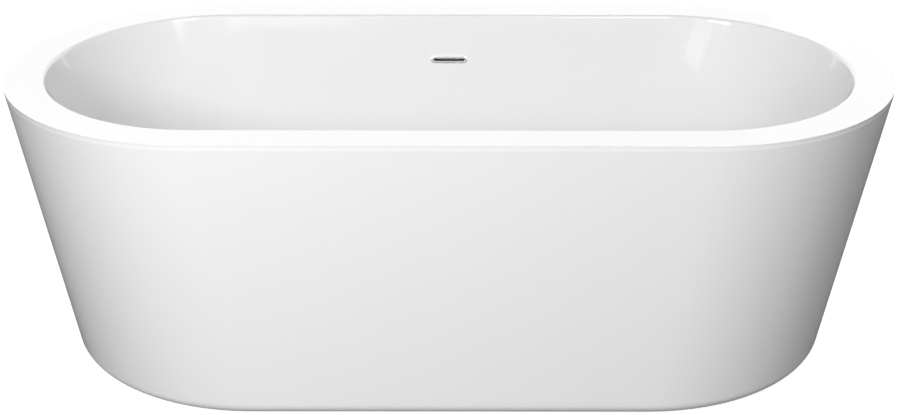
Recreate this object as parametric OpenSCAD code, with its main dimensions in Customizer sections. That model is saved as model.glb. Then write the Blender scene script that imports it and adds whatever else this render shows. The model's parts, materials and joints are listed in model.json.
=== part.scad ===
// Freestanding double-ended bath with a flat rim, a slot overflow and a push-button waste.
// Millimetres, +Z up. X runs along the bath and +Y points to the overflow side.
// The origin is on the floor, under the middle of the bath.

/* [Outer skirt] */
// Length over the rim, to its corner before the edge is rounded
tub_length = 1700; // [1500:10:1900]
// Width over the rim, to its corner before the edge is rounded
tub_width = 798; // [730:2:860]
// Height of the rim's flat top above the floor
rim_height = 548; // [520:2:620]
// Length of the skirt at its foot
base_length = 1506; // [1440:2:1680]
// Width of the skirt at its foot
base_width = 778; // [730:1:840]
// Thickness of the skirt
skirt_wall = 5; // [4:0.5:7]
// Radius of the skirt's bottom edge
base_edge_r = 25; // [10:1:26]
// Width of the flange turned in along the skirt's foot
base_flange = 36; // [32:1:48]
// Gap between the skirt and the floor
floor_gap = 2; // [1:0.5:5]

/* [Basin] */
// Width of the rim at each end, to where the inner wall would meet its top
rim_end_width = 75; // [60:1:120]
// Width of the rim at each side, to where the inner wall would meet its top
rim_side_width = 75.5; // [75:0.5:100]
// Length of the basin where its wall would meet the floor
foot_length = 1200; // [1120:5:1260]
// Width of the basin where its wall would meet the floor
foot_width = 500; // [480:2:540]
// Height of the basin's floor at the waste
floor_height = 130; // [126:1:150]
// Fall of the basin's floor from its edge to the waste
floor_fall = 6; // [2:1:10]
// Radius between the basin's wall and its floor
floor_fillet_r = 90; // [60:5:110]
// Radius of the rim's outer edge
rim_edge_r = 8; // [8:1:14]
// Radius of the rim's inner edge
opening_edge_r = 8; // [7:0.5:12]
// Depth of the lip turned down along the rim's outer edge
rim_lip = 22; // [22:1:40]
// Thickness of the basin
shell_wall = 5; // [4:0.5:6]

/* [Rim joint] */
// Height of the filled joint between the rim's lip and the skirt
joint_gap = 1; // [0.5:0.25:3]
// How far the filler stands back from the outer face
joint_recess = 0.4; // [0.2:0.1:1]
// Height of the filler's backing above and below the joint
backing_reach = 6; // [3:0.5:6]
// Thickness of the filler's backing
backing_depth = 7; // [4:1:12]

/* [Frame] */
// Length of the board under the basin's floor
board_length = 1000; // [960:10:1040]
// Width of the board under the basin's floor
board_width = 436; // [430:2:450]
// Thickness of the board
board_thick = 12; // [9:1:18]
// Outer size of the square steel tube
tube_size = 25; // [24:1:26]
// Wall of the square steel tube
tube_wall = 2; // [1.5:0.5:3]
// Length of the two rails under the board
rail_length = 900; // [860:10:960]
// Distance between the two rails
rail_spacing = 396; // [380:2:400]
// Distance of the end cross members from the middle
cross_x = 360; // [300:5:370]
// Place of the middle cross member along the bath, measured from the middle
middle_cross_x = -150; // [-200:5:-110]
// Length of the end cross members
cross_length = 660; // [620:5:680]
// Shank radius of the screws that hold the rails to the board
board_screw_r = 2.5; // [2:0.25:3]
// Distance between the outer board screws along each rail
board_screw_spread = 800; // [780:10:840]

/* [Skirt brackets] */
// Width of each bracket
bracket_width = 40; // [30:1:50]
// Thickness of each bracket
bracket_thick = 2.5; // [2:0.25:4]
// How far each bracket's upper leg reaches under its cross member
bracket_reach = 26; // [22:1:30]
// Shank radius of the bracket's screws
bracket_screw_r = 2; // [1.5:0.25:2.5]

/* [Levelling feet] */
// Distance of the corner feet from the middle across the bath
foot_y = 270; // [250:5:280]
// Radius of a foot's thread
foot_thread_r = 5; // [4:0.5:6]
// Radius of a foot's pad
pad_r = 24; // [18:1:30]
// Thickness of a foot's pad
pad_thick = 8; // [6:1:10]
// Height of the socket that stands on a foot's pad
pad_socket = 10; // [8:1:14]
// Travel of each foot
foot_travel = 15; // [10:1:15]
// Height of a foot's nuts
foot_nut_h = 8; // [6:0.5:8]

/* [Waste] */
// Distance of the waste from the middle, towards the overflow
waste_y = 110; // [100:2:120]
// Radius of the waste's threaded tail
waste_thread_r = 24; // [22:0.5:25]
// Radius of the waste's bore
waste_bore_r = 20; // [17:0.5:20.5]
// Radius of the waste's flange
waste_flange_r = 36; // [34:0.5:39]
// Thickness of the waste's flange
waste_flange_h = 2.5; // [2:0.25:4]
// Radius of the push-button cap
cap_r = 31; // [27:0.5:33]
// Thickness of the cap's rim
cap_h = 4; // [3:0.5:6]
// Travel of the push-button cap
cap_travel = 9; // [6:0.5:12]
// Radius of the cap's stem
cap_stem_r = 5; // [4:0.25:6]
// Thickness of the rubber seals
seal_h = 2.5; // [1.5:0.25:3]
// Outer radius of the tail pipe
tail_pipe_r = 19.05; // [16:0.05:20]
// Step of the tail pipe's shoulder, where its upper end is turned down for the slip joint
tail_step = 0.6; // [0.4:0.1:0.8]
// Height of the tail pipe's open end above the floor
tail_end_z = 6; // [5:1:10]

/* [Overflow] */
// Height of the overflow slot above the floor
overflow_z = 455; // [430:1:465]
// Length of the overflow trim
trim_length = 78; // [70:1:90]
// Height of the overflow trim
trim_height = 15; // [13:0.5:20]
// Thickness of the overflow trim
trim_thick = 3; // [2:0.25:5]
// Length of the overflow slot
slot_length = 66; // [56:1:66]
// Height of the overflow slot
slot_height = 5; // [4:0.25:6]
// Outer radius of the overflow pipe
overflow_pipe_r = 16; // [13:0.5:17]
// Wall of the pipes
pipe_wall = 2; // [1.5:0.25:3]
// Bend radius of the overflow pipe
overflow_bend_r = 42; // [34:1:48]

/* [Hidden] */
$fn = 64;

// Steps around each round end of the shells
end_steps = 48;
// Steps around each rounded edge of the shells
edge_steps = 4;
// Steps down the fillet between the basin's wall and floor
fillet_steps = 8;

// Running clearance of a shaft in its bore, on the radius
running_fit = 0.05;
// Clearance of a screw, pipe or tube in its hole, on the radius
loose_fit = 0.5;
// Clearance between faces that seal or seat on a moving piece
seat_gap = 0.3;
// Overshoot of a cutting tool past the face that it cuts
cut = 1;

// Heights of the frame, from the basin's floor down
floor_edge_z = floor_height + floor_fall;
shell_under_z = floor_height - shell_wall;
board_under_z = shell_under_z - board_thick;
rail_under_z = board_under_z - tube_size;
cross_under_z = rail_under_z - tube_size;

// Opening of the basin, and the leans of the walls from the vertical
opening_length = tub_length - 2 * rim_end_width;
opening_width = tub_width - 2 * rim_side_width;
skirt_rise = rim_height - floor_gap;
basin_rise = rim_height - floor_edge_z;
skirt_end_lean = atan((tub_length - base_length) / 2 / skirt_rise);
skirt_side_lean = atan((tub_width - base_width) / 2 / skirt_rise);
basin_end_lean = atan((opening_length - foot_length) / 2 / basin_rise);
basin_side_lean = atan((opening_width - foot_width) / 2 / basin_rise);

// Rim joint
lip_under_z = rim_height - rim_lip;
skirt_top_z = lip_under_z - joint_gap;

// Tube end caps: the plate over the end, the spigot in the tube and its play
end_cap_plate = 2;
end_cap_spigot = 8;
end_cap_play = 0.2;

// Half size of the flat around the waste
waste_flat_r = waste_flange_r + 6;
waste_flat_x = waste_flat_r + 8;

// Waste stack, from the basin's floor down
upper_gasket_h = 0.8;
flange_under_z = floor_height + upper_gasket_h;
flange_top_z = flange_under_z + waste_flange_h;
lower_gasket_z = shell_under_z - seal_h;
washer_h = 1.5;
washer_z = lower_gasket_z - washer_h;
locknut_h = 10;
locknut_z = washer_z - locknut_h;
locknut_r = waste_thread_r + 9;
board_hole_r = locknut_r + 8;
tee_top_z = locknut_z - 1;
tee_socket = 20;
waste_end_z = tee_top_z - tee_socket;
tee_wall = 4;
tee_r = waste_thread_r + running_fit + tee_wall;
spigot_wall = 3.5;
arm_z = rail_under_z - overflow_pipe_r - 2;
slip_washer_h = 3;
slip_nut_floor = 5;
slip_nut_grip = 10;
slip_nut_wall = 4;
tee_under_z = arm_z - overflow_pipe_r - running_fit - spigot_wall - slip_nut_grip - 1;
tail_spigot_r = tail_pipe_r - tail_step;
tail_socket = 18;
tail_shoulder_z = tee_under_z - slip_washer_h - slip_nut_floor - seat_gap;
arm_end_y = waste_y + tee_r + 24;
// Small ledges of the waste: its flange's slope, its tube's step under the flange, and how
// far the gaskets and the washer reach past or stop short of what clamps them
flange_slope = 2.5;
tube_step = 1;
upper_gasket_inset = 1.5;
lower_gasket_reach = 2;
washer_reach = 1;
// Socket of the overflow pipe in the tee's arm, and how far the pipe goes in
arm_socket = 14;
pipe_in_arm = 13;
// Ribs of a slip nut
rib_count = 8;
rib_width = 4;
rib_depth = 2;
rib_bite = 0.6;

// Push-button plug
cap_closed_z = flange_top_z + seat_gap + seal_h;
cap_rest_z = cap_closed_z + cap_travel;
guide_top_z = lower_gasket_z - 4;
guide_h = 12;
guide_ledge = 1.5;
guide_wall = 3;
guide_arm_width = 3;
guide_arm_h = 5;
guide_play = 0.2;
stem_past_guide = 6;
cap_foot_ease = 0.8;
cap_edge_r = 2;
cap_shoulder = 1;
cap_crown = 2.2;
cap_top = 2;
plug_seal_inset = 3;
plug_seal_lap = 2;
spring_r = cap_stem_r + 3.2;
spring_wire_r = 0.7;
spring_turns = 7;
spring_steps = 12;
spring_sides = 8;

// Overflow, in the frame of the back wall at the slot's middle
overflow_y = basin_half(overflow_z, opening_width / 2, foot_width / 2, basin_side_lean, 0);
neck_wall = 1.5;
neck_length = slot_length + 2 * neck_wall;
neck_height = slot_height + 2 * neck_wall;
gasket_lip = 7;
hopper_wall = 2.5;
hopper_depth = 2 * overflow_pipe_r + 9;
hopper_height = neck_height + 10;
hopper_flange = 3;
neck_reach = 5;
hopper_back = shell_wall + seal_h;
neck_depth = hopper_back + neck_reach;
overflow_axis = hopper_back + hopper_depth / 2;
pipe_y = overflow_y + overflow_axis * cos(basin_side_lean) - hopper_height / 2 * sin(basin_side_lean);
hopper_spigot = 34;
hopper_socket = 20;
pipe_in_hopper = 19;
hopper_end_z = overflow_z - hopper_height / 2 - hopper_spigot;

// Places of the feet, corner feet first, each as x and y
foot_places = [
    [-cross_x, -foot_y], [cross_x, -foot_y], [cross_x, foot_y], [-cross_x, foot_y],
    [middle_cross_x, 0]
];
stem_seat_z = pad_thick / 2 + seat_gap;
stem_collar_z = pad_thick + pad_socket + seat_gap;
stem_top_z = rail_under_z + foot_nut_h + foot_travel;
pad_socket_wall = 5;
stem_collar_h = 6;

// Places of the skirt brackets, each as the two directions from the middle
bracket_corners = [[-1, -1], [1, -1], [1, 1], [-1, 1]];
bracket_y = cross_length / 2 - bracket_reach;
bracket_post_gap = 4;
bracket_toe_y = base_width / 2 - base_edge_r - 4;
// How far the bracket screws go past the tube's wall, and the flange screws stop short of the floor
bracket_screw_past = 6;
flange_screw_short = 1.5;
flange_top = floor_gap + skirt_wall;
flange_screw_y = base_width / 2 - base_flange + 8;

// Colours
acrylic = [0.96, 0.96, 0.95];
filler = [0.93, 0.93, 0.92];
plywood = [0.80, 0.66, 0.46];
steel = [0.62, 0.64, 0.66];
zinc = [0.75, 0.76, 0.76];
chrome = [0.86, 0.87, 0.88];
brass = [0.78, 0.66, 0.36];
black_rubber = [0.10, 0.10, 0.10];
grey_plastic = [0.35, 0.36, 0.37];
white_plastic = [0.90, 0.90, 0.90];

// ---- Curves of the shells ----

// Half width of a wall that rises from a filleted foot, at height h above that foot
function wall_half(h, foot, lean, r) =
    h < r * (1 - sin(lean))
    ? foot - r * tan(45 - lean / 2) + sqrt(max(0, r * r - (r - h) * (r - h)))
    : foot + h * tan(lean);

// Half width of a rounded outer rim, at depth d below its flat top
function outer_edge_half(d, top, lean, r) =
    d < r * (1 + sin(lean))
    ? top - r * tan(45 + lean / 2) + sqrt(max(0, r * r - (r - d) * (r - d)))
    : top - d * tan(lean);

// Half width of the basin's wall at height z, moved out by off through the shell's thickness.
// The shell's underside is level, so its foot also lies lower by the floor's fall.
function basin_half(z, top, foot, lean, off) =
    let (shift = off * (1 / cos(lean) - tan(lean)))
    let (edge_r = opening_edge_r - off)
    let (d = rim_height - off - z)
    let (drop = off > 0 ? off + floor_fall : 0)
    d < edge_r * (1 - sin(lean))
    ? top + shift + edge_r * tan(45 - lean / 2) - sqrt(max(0, edge_r * edge_r - (edge_r - d) * (edge_r - d)))
    : wall_half(z - floor_edge_z + drop, foot + off / cos(lean) - drop * tan(lean), lean, floor_fillet_r + off);

// Half sizes of the basin's wall at height z, along and across the bath
function basin_size(z, off) = [
    basin_half(z, opening_length / 2, foot_length / 2, basin_end_lean, off),
    basin_half(z, opening_width / 2, foot_width / 2, basin_side_lean, off),
    z
];

// Half sizes of the rim's outer edge at height z, moved in by off
function rim_size(z, off) = [
    outer_edge_half(rim_height - off - z, tub_length / 2 - off * (1 / cos(skirt_end_lean) + tan(skirt_end_lean)),
        skirt_end_lean, rim_edge_r - off),
    outer_edge_half(rim_height - off - z, tub_width / 2 - off * (1 / cos(skirt_side_lean) + tan(skirt_side_lean)),
        skirt_side_lean, rim_edge_r - off),
    z
];

// Half sizes of the skirt at height z, moved in by off
function skirt_size(z, off) = [
    wall_half(z - floor_gap - off, base_length / 2 - off * (1 / cos(skirt_end_lean) - tan(skirt_end_lean)),
        skirt_end_lean, base_edge_r - off),
    wall_half(z - floor_gap - off, base_width / 2 - off * (1 / cos(skirt_side_lean) - tan(skirt_side_lean)),
        skirt_side_lean, base_edge_r - off),
    z
];

// The same half sizes, made smaller all round
function inset(size, by) = [size[0] - by, size[1] - by, size[2]];

// Depths below a flat edge that is rounded to radius r, in even turns of its arc
function edge_depths(r, steps, turn) = [for (i = [0 : steps]) r * (1 - cos(turn * i / steps))];

// Heights, from the last of a list to its first
function reversed(list) = [for (i = [len(list) - 1 : -1 : 0]) list[i]];

// Points of a ring with two straight sides and two round ends, from its half sizes and height
function ring(size, y = 0) = [
    for (side = [1, -1])
        for (i = [0 : end_steps])
            let (turn = 180 * i / end_steps - side * 90)
            [side * (size[0] - size[1]) + size[1] * cos(turn), y + size[1] * sin(turn), size[2]]
];

ring_points = 2 * (end_steps + 1);

// Faces between ring k and ring next
function band(k, next) = [
    for (i = [0 : ring_points - 1])
        let (j = (i + 1) % ring_points)
        [k * ring_points + i, next * ring_points + i, next * ring_points + j, k * ring_points + j]
];

// Solid whose section is a closed loop of rings
module ring_loop(sizes) {
    last = len(sizes) - 1;
    polyhedron(
        points = [for (size = sizes) each ring(size)],
        faces = [for (k = [0 : last]) each band(k, k == last ? 0 : k + 1)],
        convexity = 8
    );
}

// Rod or hole with two round ends, as long as length and as high as height
module obround(length, height, depth) {
    for (side = [-1, 1])
        translate([side * (length - height) / 2, 0, 0])
            cylinder(r = height / 2, h = depth);
    translate([-(length - height) / 2, -height / 2, 0])
        cube([length - height, height, depth]);
}

// ---- Shells ----

// Rings of the basin, from the flat around the waste up over the rim and back under it
floor_turn = 90 - basin_side_lean;
rim_turn = 90 + skirt_end_lean;
rim_under_z = rim_height - shell_wall;
basin_face = concat(
    [for (d = edge_depths(floor_fillet_r, fillet_steps, floor_turn)) basin_size(floor_edge_z + d, 0)],
    [for (d = reversed(edge_depths(opening_edge_r, edge_steps, floor_turn))) basin_size(rim_height - d, 0)],
    [for (d = edge_depths(rim_edge_r, edge_steps, rim_turn)) rim_size(rim_height - d, 0)],
    [rim_size(lip_under_z, 0)]
);
basin_back = concat(
    [rim_size(lip_under_z, shell_wall)],
    [for (d = reversed(edge_depths(rim_edge_r - shell_wall, 2, rim_turn))) rim_size(rim_under_z - d, shell_wall)],
    [for (d = edge_depths(opening_edge_r - shell_wall, 2, floor_turn)) basin_size(rim_under_z - d, shell_wall)],
    [for (d = reversed(edge_depths(floor_fillet_r + shell_wall, fillet_steps, floor_turn)))
        basin_size(shell_under_z + d, shell_wall)]
);

module basin_body() {
    sizes = concat(basin_face, basin_back);
    last = len(sizes) + 1;
    points = concat(
        ring([waste_flat_x, waste_flat_r, floor_height], waste_y),
        [for (size = sizes) each ring(size)],
        ring([waste_flat_x, waste_flat_r, shell_under_z], waste_y)
    );
    polyhedron(
        points = points,
        faces = concat(
            [for (k = [0 : last - 1]) each band(k + 1, k)],
            [[for (i = [ring_points - 1 : -1 : 0]) i]],
            [[for (i = [0 : ring_points - 1]) last * ring_points + i]]
        ),
        convexity = 10
    );
}

module basin_shell() {
    color(acrylic)
        difference() {
            basin_body();
            translate([0, waste_y, shell_under_z - cut])
                cylinder(r = waste_thread_r + loose_fit, h = shell_wall + 2 * cut);
            at_overflow(-shell_wall - 2 * cut)
                obround(neck_length + 2 * loose_fit, neck_height + 2 * loose_fit, shell_wall + 4 * cut);
        }
}

module outer_skirt() {
    flange = inset([base_length / 2, base_width / 2, floor_gap], base_flange);
    turn = 90 - skirt_side_lean;
    outer = [for (d = edge_depths(base_edge_r, edge_steps, turn)) skirt_size(floor_gap + d, 0)];
    inner = [for (d = reversed(edge_depths(base_edge_r - skirt_wall, edge_steps, turn)))
        skirt_size(flange_top + d, skirt_wall)];
    color(acrylic)
        difference() {
            ring_loop(concat(
                outer,
                [skirt_size(skirt_top_z, 0), skirt_size(skirt_top_z, skirt_wall)],
                inner,
                [[flange[0], flange[1], flange_top], flange]
            ));
            for (corner = bracket_corners)
                at_bracket(corner)
                    translate([0, flange_screw_y, flange_top - skirt_wall + cut])
                        cylinder(r = bracket_screw_r + running_fit, h = skirt_wall);
        }
}

module rim_joint_filler() {
    top_z = lip_under_z + backing_reach;
    under_z = skirt_top_z - backing_reach;
    color(filler)
        ring_loop([
            inset(rim_size(lip_under_z, 0), joint_recess),
            rim_size(lip_under_z, shell_wall),
            rim_size(top_z, shell_wall),
            inset(rim_size(top_z, shell_wall), backing_depth),
            inset(skirt_size(under_z, skirt_wall), backing_depth),
            skirt_size(under_z, skirt_wall),
            skirt_size(skirt_top_z, skirt_wall),
            inset(skirt_size(skirt_top_z, 0), joint_recess)
        ]);
}

// ---- Frame ----

// Moves its children to each screw of the rails
module at_board_screws() {
    for (side = [-1, 1])
        for (place = [-1, 0.3, 1])
            translate([place * board_screw_spread / 2, side * rail_spacing / 2, 0])
                children();
}

module floor_board() {
    color(plywood)
        difference() {
            translate([0, 0, board_under_z])
                intersection() {
                    translate([-board_length / 2, -board_width / 2, 0])
                        cube([board_length, board_width, board_thick]);
                    obround(board_length + board_width / 3, board_width * 1.15, board_thick);
                }
            translate([0, waste_y, board_under_z - cut])
                cylinder(r = board_hole_r, h = board_thick + 2 * cut);
            at_board_screws()
                translate([0, 0, board_under_z - cut])
                    cylinder(r = board_screw_r + running_fit, h = board_thick * 0.75 + cut);
        }
}

// Square tube along X, its middle at the origin and its underside on z = 0
module square_tube(length) {
    difference() {
        translate([-length / 2, -tube_size / 2, 0])
            cube([length, tube_size, tube_size]);
        translate([-length / 2 - cut, -tube_size / 2 + tube_wall, tube_wall])
            cube([length + 2 * cut, tube_size - 2 * tube_wall, tube_size - 2 * tube_wall]);
    }
}

module rail(side) {
    color(steel)
        difference() {
            translate([0, side * rail_spacing / 2, rail_under_z])
                square_tube(rail_length);
            at_board_screws()
                translate([0, 0, rail_under_z - cut])
                    cylinder(r = board_screw_r + loose_fit, h = tube_size + 2 * cut);
        }
}

module cross_member(x, length) {
    color(steel)
        difference() {
            translate([x, 0, cross_under_z])
                rotate([0, 0, 90])
                    square_tube(length);
            for (place = foot_places)
                translate([place[0], place[1], cross_under_z - cut])
                    cylinder(r = foot_thread_r + loose_fit, h = tube_size + 2 * cut);
            for (corner = bracket_corners)
                at_bracket(corner)
                    translate([0, bracket_y + bracket_reach / 2, cross_under_z - cut])
                        cylinder(r = bracket_screw_r + running_fit, h = tube_wall + 2 * cut);
        }
}

// Plug for a tube's end: a cap on the end and a spigot inside it, the tube running along +X
module tube_end_cap() {
    spigot = tube_size - 2 * tube_wall - end_cap_play;
    translate([-end_cap_plate, -tube_size / 2, 0])
        cube([end_cap_plate, tube_size, tube_size]);
    translate([0, -spigot / 2, (tube_size - spigot) / 2])
        cube([end_cap_spigot, spigot, spigot]);
}

module tube_end_caps() {
    color(black_rubber) {
        for (end = [-1, 1])
            for (side = [-1, 1])
                translate([end * rail_length / 2, side * rail_spacing / 2, rail_under_z])
                    rotate([0, 0, end > 0 ? 180 : 0])
                        tube_end_cap();
        for (x = [-cross_x, cross_x])
            for (end = [-1, 1])
                translate([x, end * cross_length / 2, cross_under_z])
                    rotate([0, 0, end * -90])
                        tube_end_cap();
        for (end = [-1, 1])
            translate([middle_cross_x, end * (rail_spacing + tube_size) / 2, cross_under_z])
                rotate([0, 0, end * -90])
                    tube_end_cap();
    }
}

// Hexagon nut on z = 0, with a bore for a thread of radius r
module hex_nut(r, h) {
    difference() {
        cylinder(r = 1.9 * r, h = h, $fn = 6);
        translate([0, 0, -cut])
            cylinder(r = r + running_fit, h = h + 2 * cut);
    }
}

module weld_nuts() {
    color(zinc)
        for (place = foot_places)
            translate([place[0], place[1], rail_under_z])
                hex_nut(foot_thread_r, foot_nut_h);
}

// Hexagon-headed screw that points up, its head's top face on z = 0
module hex_screw(r, length) {
    translate([0, 0, -1.4 * r])
        cylinder(r = 2 * r, h = 1.4 * r, $fn = 6);
    cylinder(r = r, h = length);
}

module board_screws() {
    color(zinc)
        at_board_screws()
            translate([0, 0, rail_under_z])
                hex_screw(board_screw_r, tube_size + board_thick * 0.7);
}

// ---- Skirt brackets ----

// Moves its children to a bracket, which is built for the rear right corner and mirrored
module at_bracket(corner) {
    translate([corner[0] * cross_x, 0, 0])
        mirror([0, corner[1] < 0 ? 1 : 0, 0])
            children();
}

module skirt_bracket(corner) {
    post_y = cross_length / 2 + bracket_post_gap;
    color(zinc)
        difference() {
            at_bracket(corner)
                union() {
                    translate([-bracket_width / 2, bracket_y, cross_under_z - bracket_thick])
                        cube([bracket_width, post_y - bracket_y, bracket_thick]);
                    translate([-bracket_width / 2, post_y - bracket_thick, flange_top])
                        cube([bracket_width, bracket_thick, cross_under_z - flange_top]);
                    translate([-bracket_width / 2, post_y - bracket_thick, flange_top])
                        cube([bracket_width, bracket_toe_y - post_y + bracket_thick, bracket_thick]);
                }
            at_bracket(corner)
                translate([0, bracket_y + bracket_reach / 2, cross_under_z - bracket_thick - cut])
                    cylinder(r = bracket_screw_r + loose_fit, h = bracket_thick + 2 * cut);
            at_bracket(corner)
                translate([0, flange_screw_y, flange_top - cut])
                    cylinder(r = bracket_screw_r + loose_fit, h = bracket_thick + 2 * cut);
        }
}

module bracket_screws() {
    color(zinc)
        for (corner = bracket_corners)
            at_bracket(corner)
                translate([0, bracket_y + bracket_reach / 2, cross_under_z - bracket_thick])
                    hex_screw(bracket_screw_r, bracket_thick + tube_wall + bracket_screw_past);
}

module flange_screws() {
    color(zinc)
        for (corner = bracket_corners)
            at_bracket(corner)
                translate([0, flange_screw_y, flange_top + bracket_thick])
                    rotate([180, 0, 0])
                        hex_screw(bracket_screw_r, bracket_thick + skirt_wall - flange_screw_short);
}

// ---- Levelling feet ----

module foot_pad(i) {
    color(grey_plastic)
        translate([foot_places[i][0], foot_places[i][1], 0])
            difference() {
                union() {
                    cylinder(r = pad_r, h = pad_thick * 0.6);
                    translate([0, 0, pad_thick * 0.6])
                        cylinder(r1 = pad_r, r2 = pad_r * 0.62, h = pad_thick * 0.4);
                    cylinder(r = foot_thread_r + pad_socket_wall, h = pad_thick + pad_socket);
                }
                translate([0, 0, pad_thick / 2])
                    cylinder(r = foot_thread_r + running_fit, h = pad_thick + pad_socket);
            }
}

module foot_stem(i) {
    color(zinc)
        translate([foot_places[i][0], foot_places[i][1], 0]) {
            translate([0, 0, stem_seat_z])
                cylinder(r = foot_thread_r, h = stem_top_z - stem_seat_z);
            translate([0, 0, stem_collar_z])
                cylinder(r = 1.7 * foot_thread_r, h = stem_collar_h, $fn = 6);
        }
}

module foot_locknut(i) {
    color(zinc)
        translate([foot_places[i][0], foot_places[i][1], cross_under_z - foot_nut_h])
            hex_nut(foot_thread_r, foot_nut_h);
}

// ---- Waste ----

// Flat ring on z = 0
module washer(outer_r, inner_r, h) {
    difference() {
        cylinder(r = outer_r, h = h);
        translate([0, 0, -cut])
            cylinder(r = inner_r, h = h + 2 * cut);
    }
}

module waste_flange() {
    color(chrome)
        translate([0, waste_y, 0])
            difference() {
                union() {
                    translate([0, 0, flange_under_z])
                        cylinder(r = waste_flange_r, h = waste_flange_h * 0.5);
                    translate([0, 0, flange_under_z + waste_flange_h * 0.5])
                        cylinder(r1 = waste_flange_r, r2 = waste_flange_r - flange_slope, h = waste_flange_h * 0.5);
                    translate([0, 0, waste_end_z])
                        cylinder(r = waste_thread_r, h = flange_top_z - waste_end_z - tube_step);
                }
                translate([0, 0, guide_top_z - guide_h])
                    cylinder(r = waste_bore_r, h = flange_top_z);
                translate([0, 0, waste_end_z - cut])
                    cylinder(r = waste_bore_r - guide_ledge, h = flange_top_z);
            }
}

module waste_gasket_upper() {
    color(black_rubber)
        translate([0, waste_y, floor_height])
            washer(waste_flange_r - upper_gasket_inset, waste_thread_r + loose_fit, upper_gasket_h);
}

module waste_gasket_lower() {
    color(black_rubber)
        translate([0, waste_y, lower_gasket_z])
            washer(locknut_r + lower_gasket_reach, waste_thread_r + loose_fit, seal_h);
}

module waste_washer() {
    color(zinc)
        translate([0, waste_y, washer_z])
            washer(locknut_r + washer_reach, waste_thread_r + loose_fit, washer_h);
}

module waste_locknut() {
    color(brass)
        translate([0, waste_y, locknut_z])
            difference() {
                cylinder(r = locknut_r, h = locknut_h, $fn = 8);
                translate([0, 0, -cut])
                    cylinder(r = waste_thread_r + running_fit, h = locknut_h + 2 * cut);
            }
}

module plug_guide() {
    hub_r = cap_stem_r + guide_wall;
    color(brass)
        translate([0, waste_y, guide_top_z - guide_h])
            difference() {
                union() {
                    cylinder(r = hub_r, h = guide_h);
                    for (turn = [0, 120, 240])
                        rotate([0, 0, turn])
                            translate([hub_r - cut, -guide_arm_width / 2, 0])
                                cube([waste_bore_r - guide_play - hub_r + cut, guide_arm_width, guide_arm_h]);
                }
                translate([0, 0, -cut])
                    cylinder(r = cap_stem_r + running_fit, h = guide_h + 2 * cut);
            }
}

module plug_cap() {
    crown_r = cap_r - cap_edge_r;
    color(chrome)
        translate([0, waste_y, cap_rest_z])
            difference() {
                rotate_extrude()
                    polygon(concat(
                        [[0, 0], [cap_r - cap_foot_ease, 0], [cap_r, cap_foot_ease], [cap_r, cap_h - cap_shoulder]],
                        [for (a = [0 : 15 : 90]) [crown_r + cap_edge_r * cos(a) - crown_r * (1 - cos(a)) * 0.35,
                            cap_h - cap_shoulder + cap_crown * sin(a)]],
                        [[0, cap_h + cap_top]]
                    ));
                translate([0, 0, -cut])
                    cylinder(r = cap_stem_r, h = cap_h * 0.6 + cut);
            }
}

module plug_stem() {
    bottom_z = guide_top_z - guide_h - stem_past_guide;
    color(brass)
        translate([0, waste_y, bottom_z])
            cylinder(r = cap_stem_r, h = cap_rest_z + cap_h * 0.6 - bottom_z);
}

module plug_seal() {
    color(black_rubber)
        translate([0, waste_y, cap_rest_z - seal_h])
            washer(cap_r - plug_seal_inset, waste_bore_r + plug_seal_lap, seal_h);
}

module plug_spring() {
    low_z = guide_top_z + spring_wire_r + seat_gap;
    high_z = cap_rest_z - spring_wire_r - seat_gap;
    steps = spring_turns * spring_steps;
    points = [
        for (i = [0 : steps])
            for (k = [0 : spring_sides - 1])
                let (turn = 360 * i / spring_steps)
                let (side = 360 * k / spring_sides)
                let (r = spring_r + spring_wire_r * cos(side))
                [r * cos(turn), r * sin(turn), low_z + (high_z - low_z) * i / steps + spring_wire_r * sin(side)]
    ];
    faces = concat(
        [for (i = [0 : steps - 1])
            for (k = [0 : spring_sides - 1])
                let (next = (k + 1) % spring_sides)
                [i * spring_sides + k, i * spring_sides + next,
                    (i + 1) * spring_sides + next, (i + 1) * spring_sides + k]],
        [[for (k = [spring_sides - 1 : -1 : 0]) k]],
        [[for (k = [0 : spring_sides - 1]) steps * spring_sides + k]]
    );
    color(zinc)
        translate([0, waste_y, 0])
            polyhedron(points = points, faces = faces, convexity = 10);
}

// Spigot of a slip joint: a tube along +Z that ends at z = 0, for a pipe of radius r
module slip_spigot(r, length) {
    translate([0, 0, -length])
        cylinder(r = r + running_fit + spigot_wall, h = length);
}

module slip_washer(r) {
    color(black_rubber)
        washer(r + running_fit + spigot_wall, r + running_fit, slip_washer_h);
}

module slip_nut(r) {
    outer_r = r + spigot_wall + slip_nut_wall;
    color(white_plastic)
        difference() {
            translate([0, 0, -slip_nut_grip])
                union() {
                    cylinder(r = outer_r, h = slip_nut_grip + slip_washer_h + slip_nut_floor);
                    for (rib = [0 : rib_count - 1])
                        rotate([0, 0, 360 * rib / rib_count])
                            translate([outer_r - rib_bite, -rib_width / 2, 0])
                                cube([rib_depth, rib_width, slip_nut_grip + slip_washer_h + slip_nut_floor]);
                }
            translate([0, 0, -slip_nut_grip - cut])
                cylinder(r = r + 2 * running_fit + spigot_wall, h = slip_nut_grip + slip_washer_h + cut);
            cylinder(r = r + running_fit * 2, h = slip_washer_h + slip_nut_floor + cut);
        }
}

// Frames of the three slip joints, +Z pointing out of the spigot along the pipe
module at_tail_joint() {
    translate([0, waste_y, tee_under_z])
        rotate([180, 0, 0])
            children();
}

module at_arm_joint() {
    translate([0, arm_end_y, arm_z])
        rotate([-90, 0, 0])
            children();
}

module at_hopper_joint() {
    translate([0, pipe_y, hopper_end_z])
        rotate([180, 0, 0])
            children();
}

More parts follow.
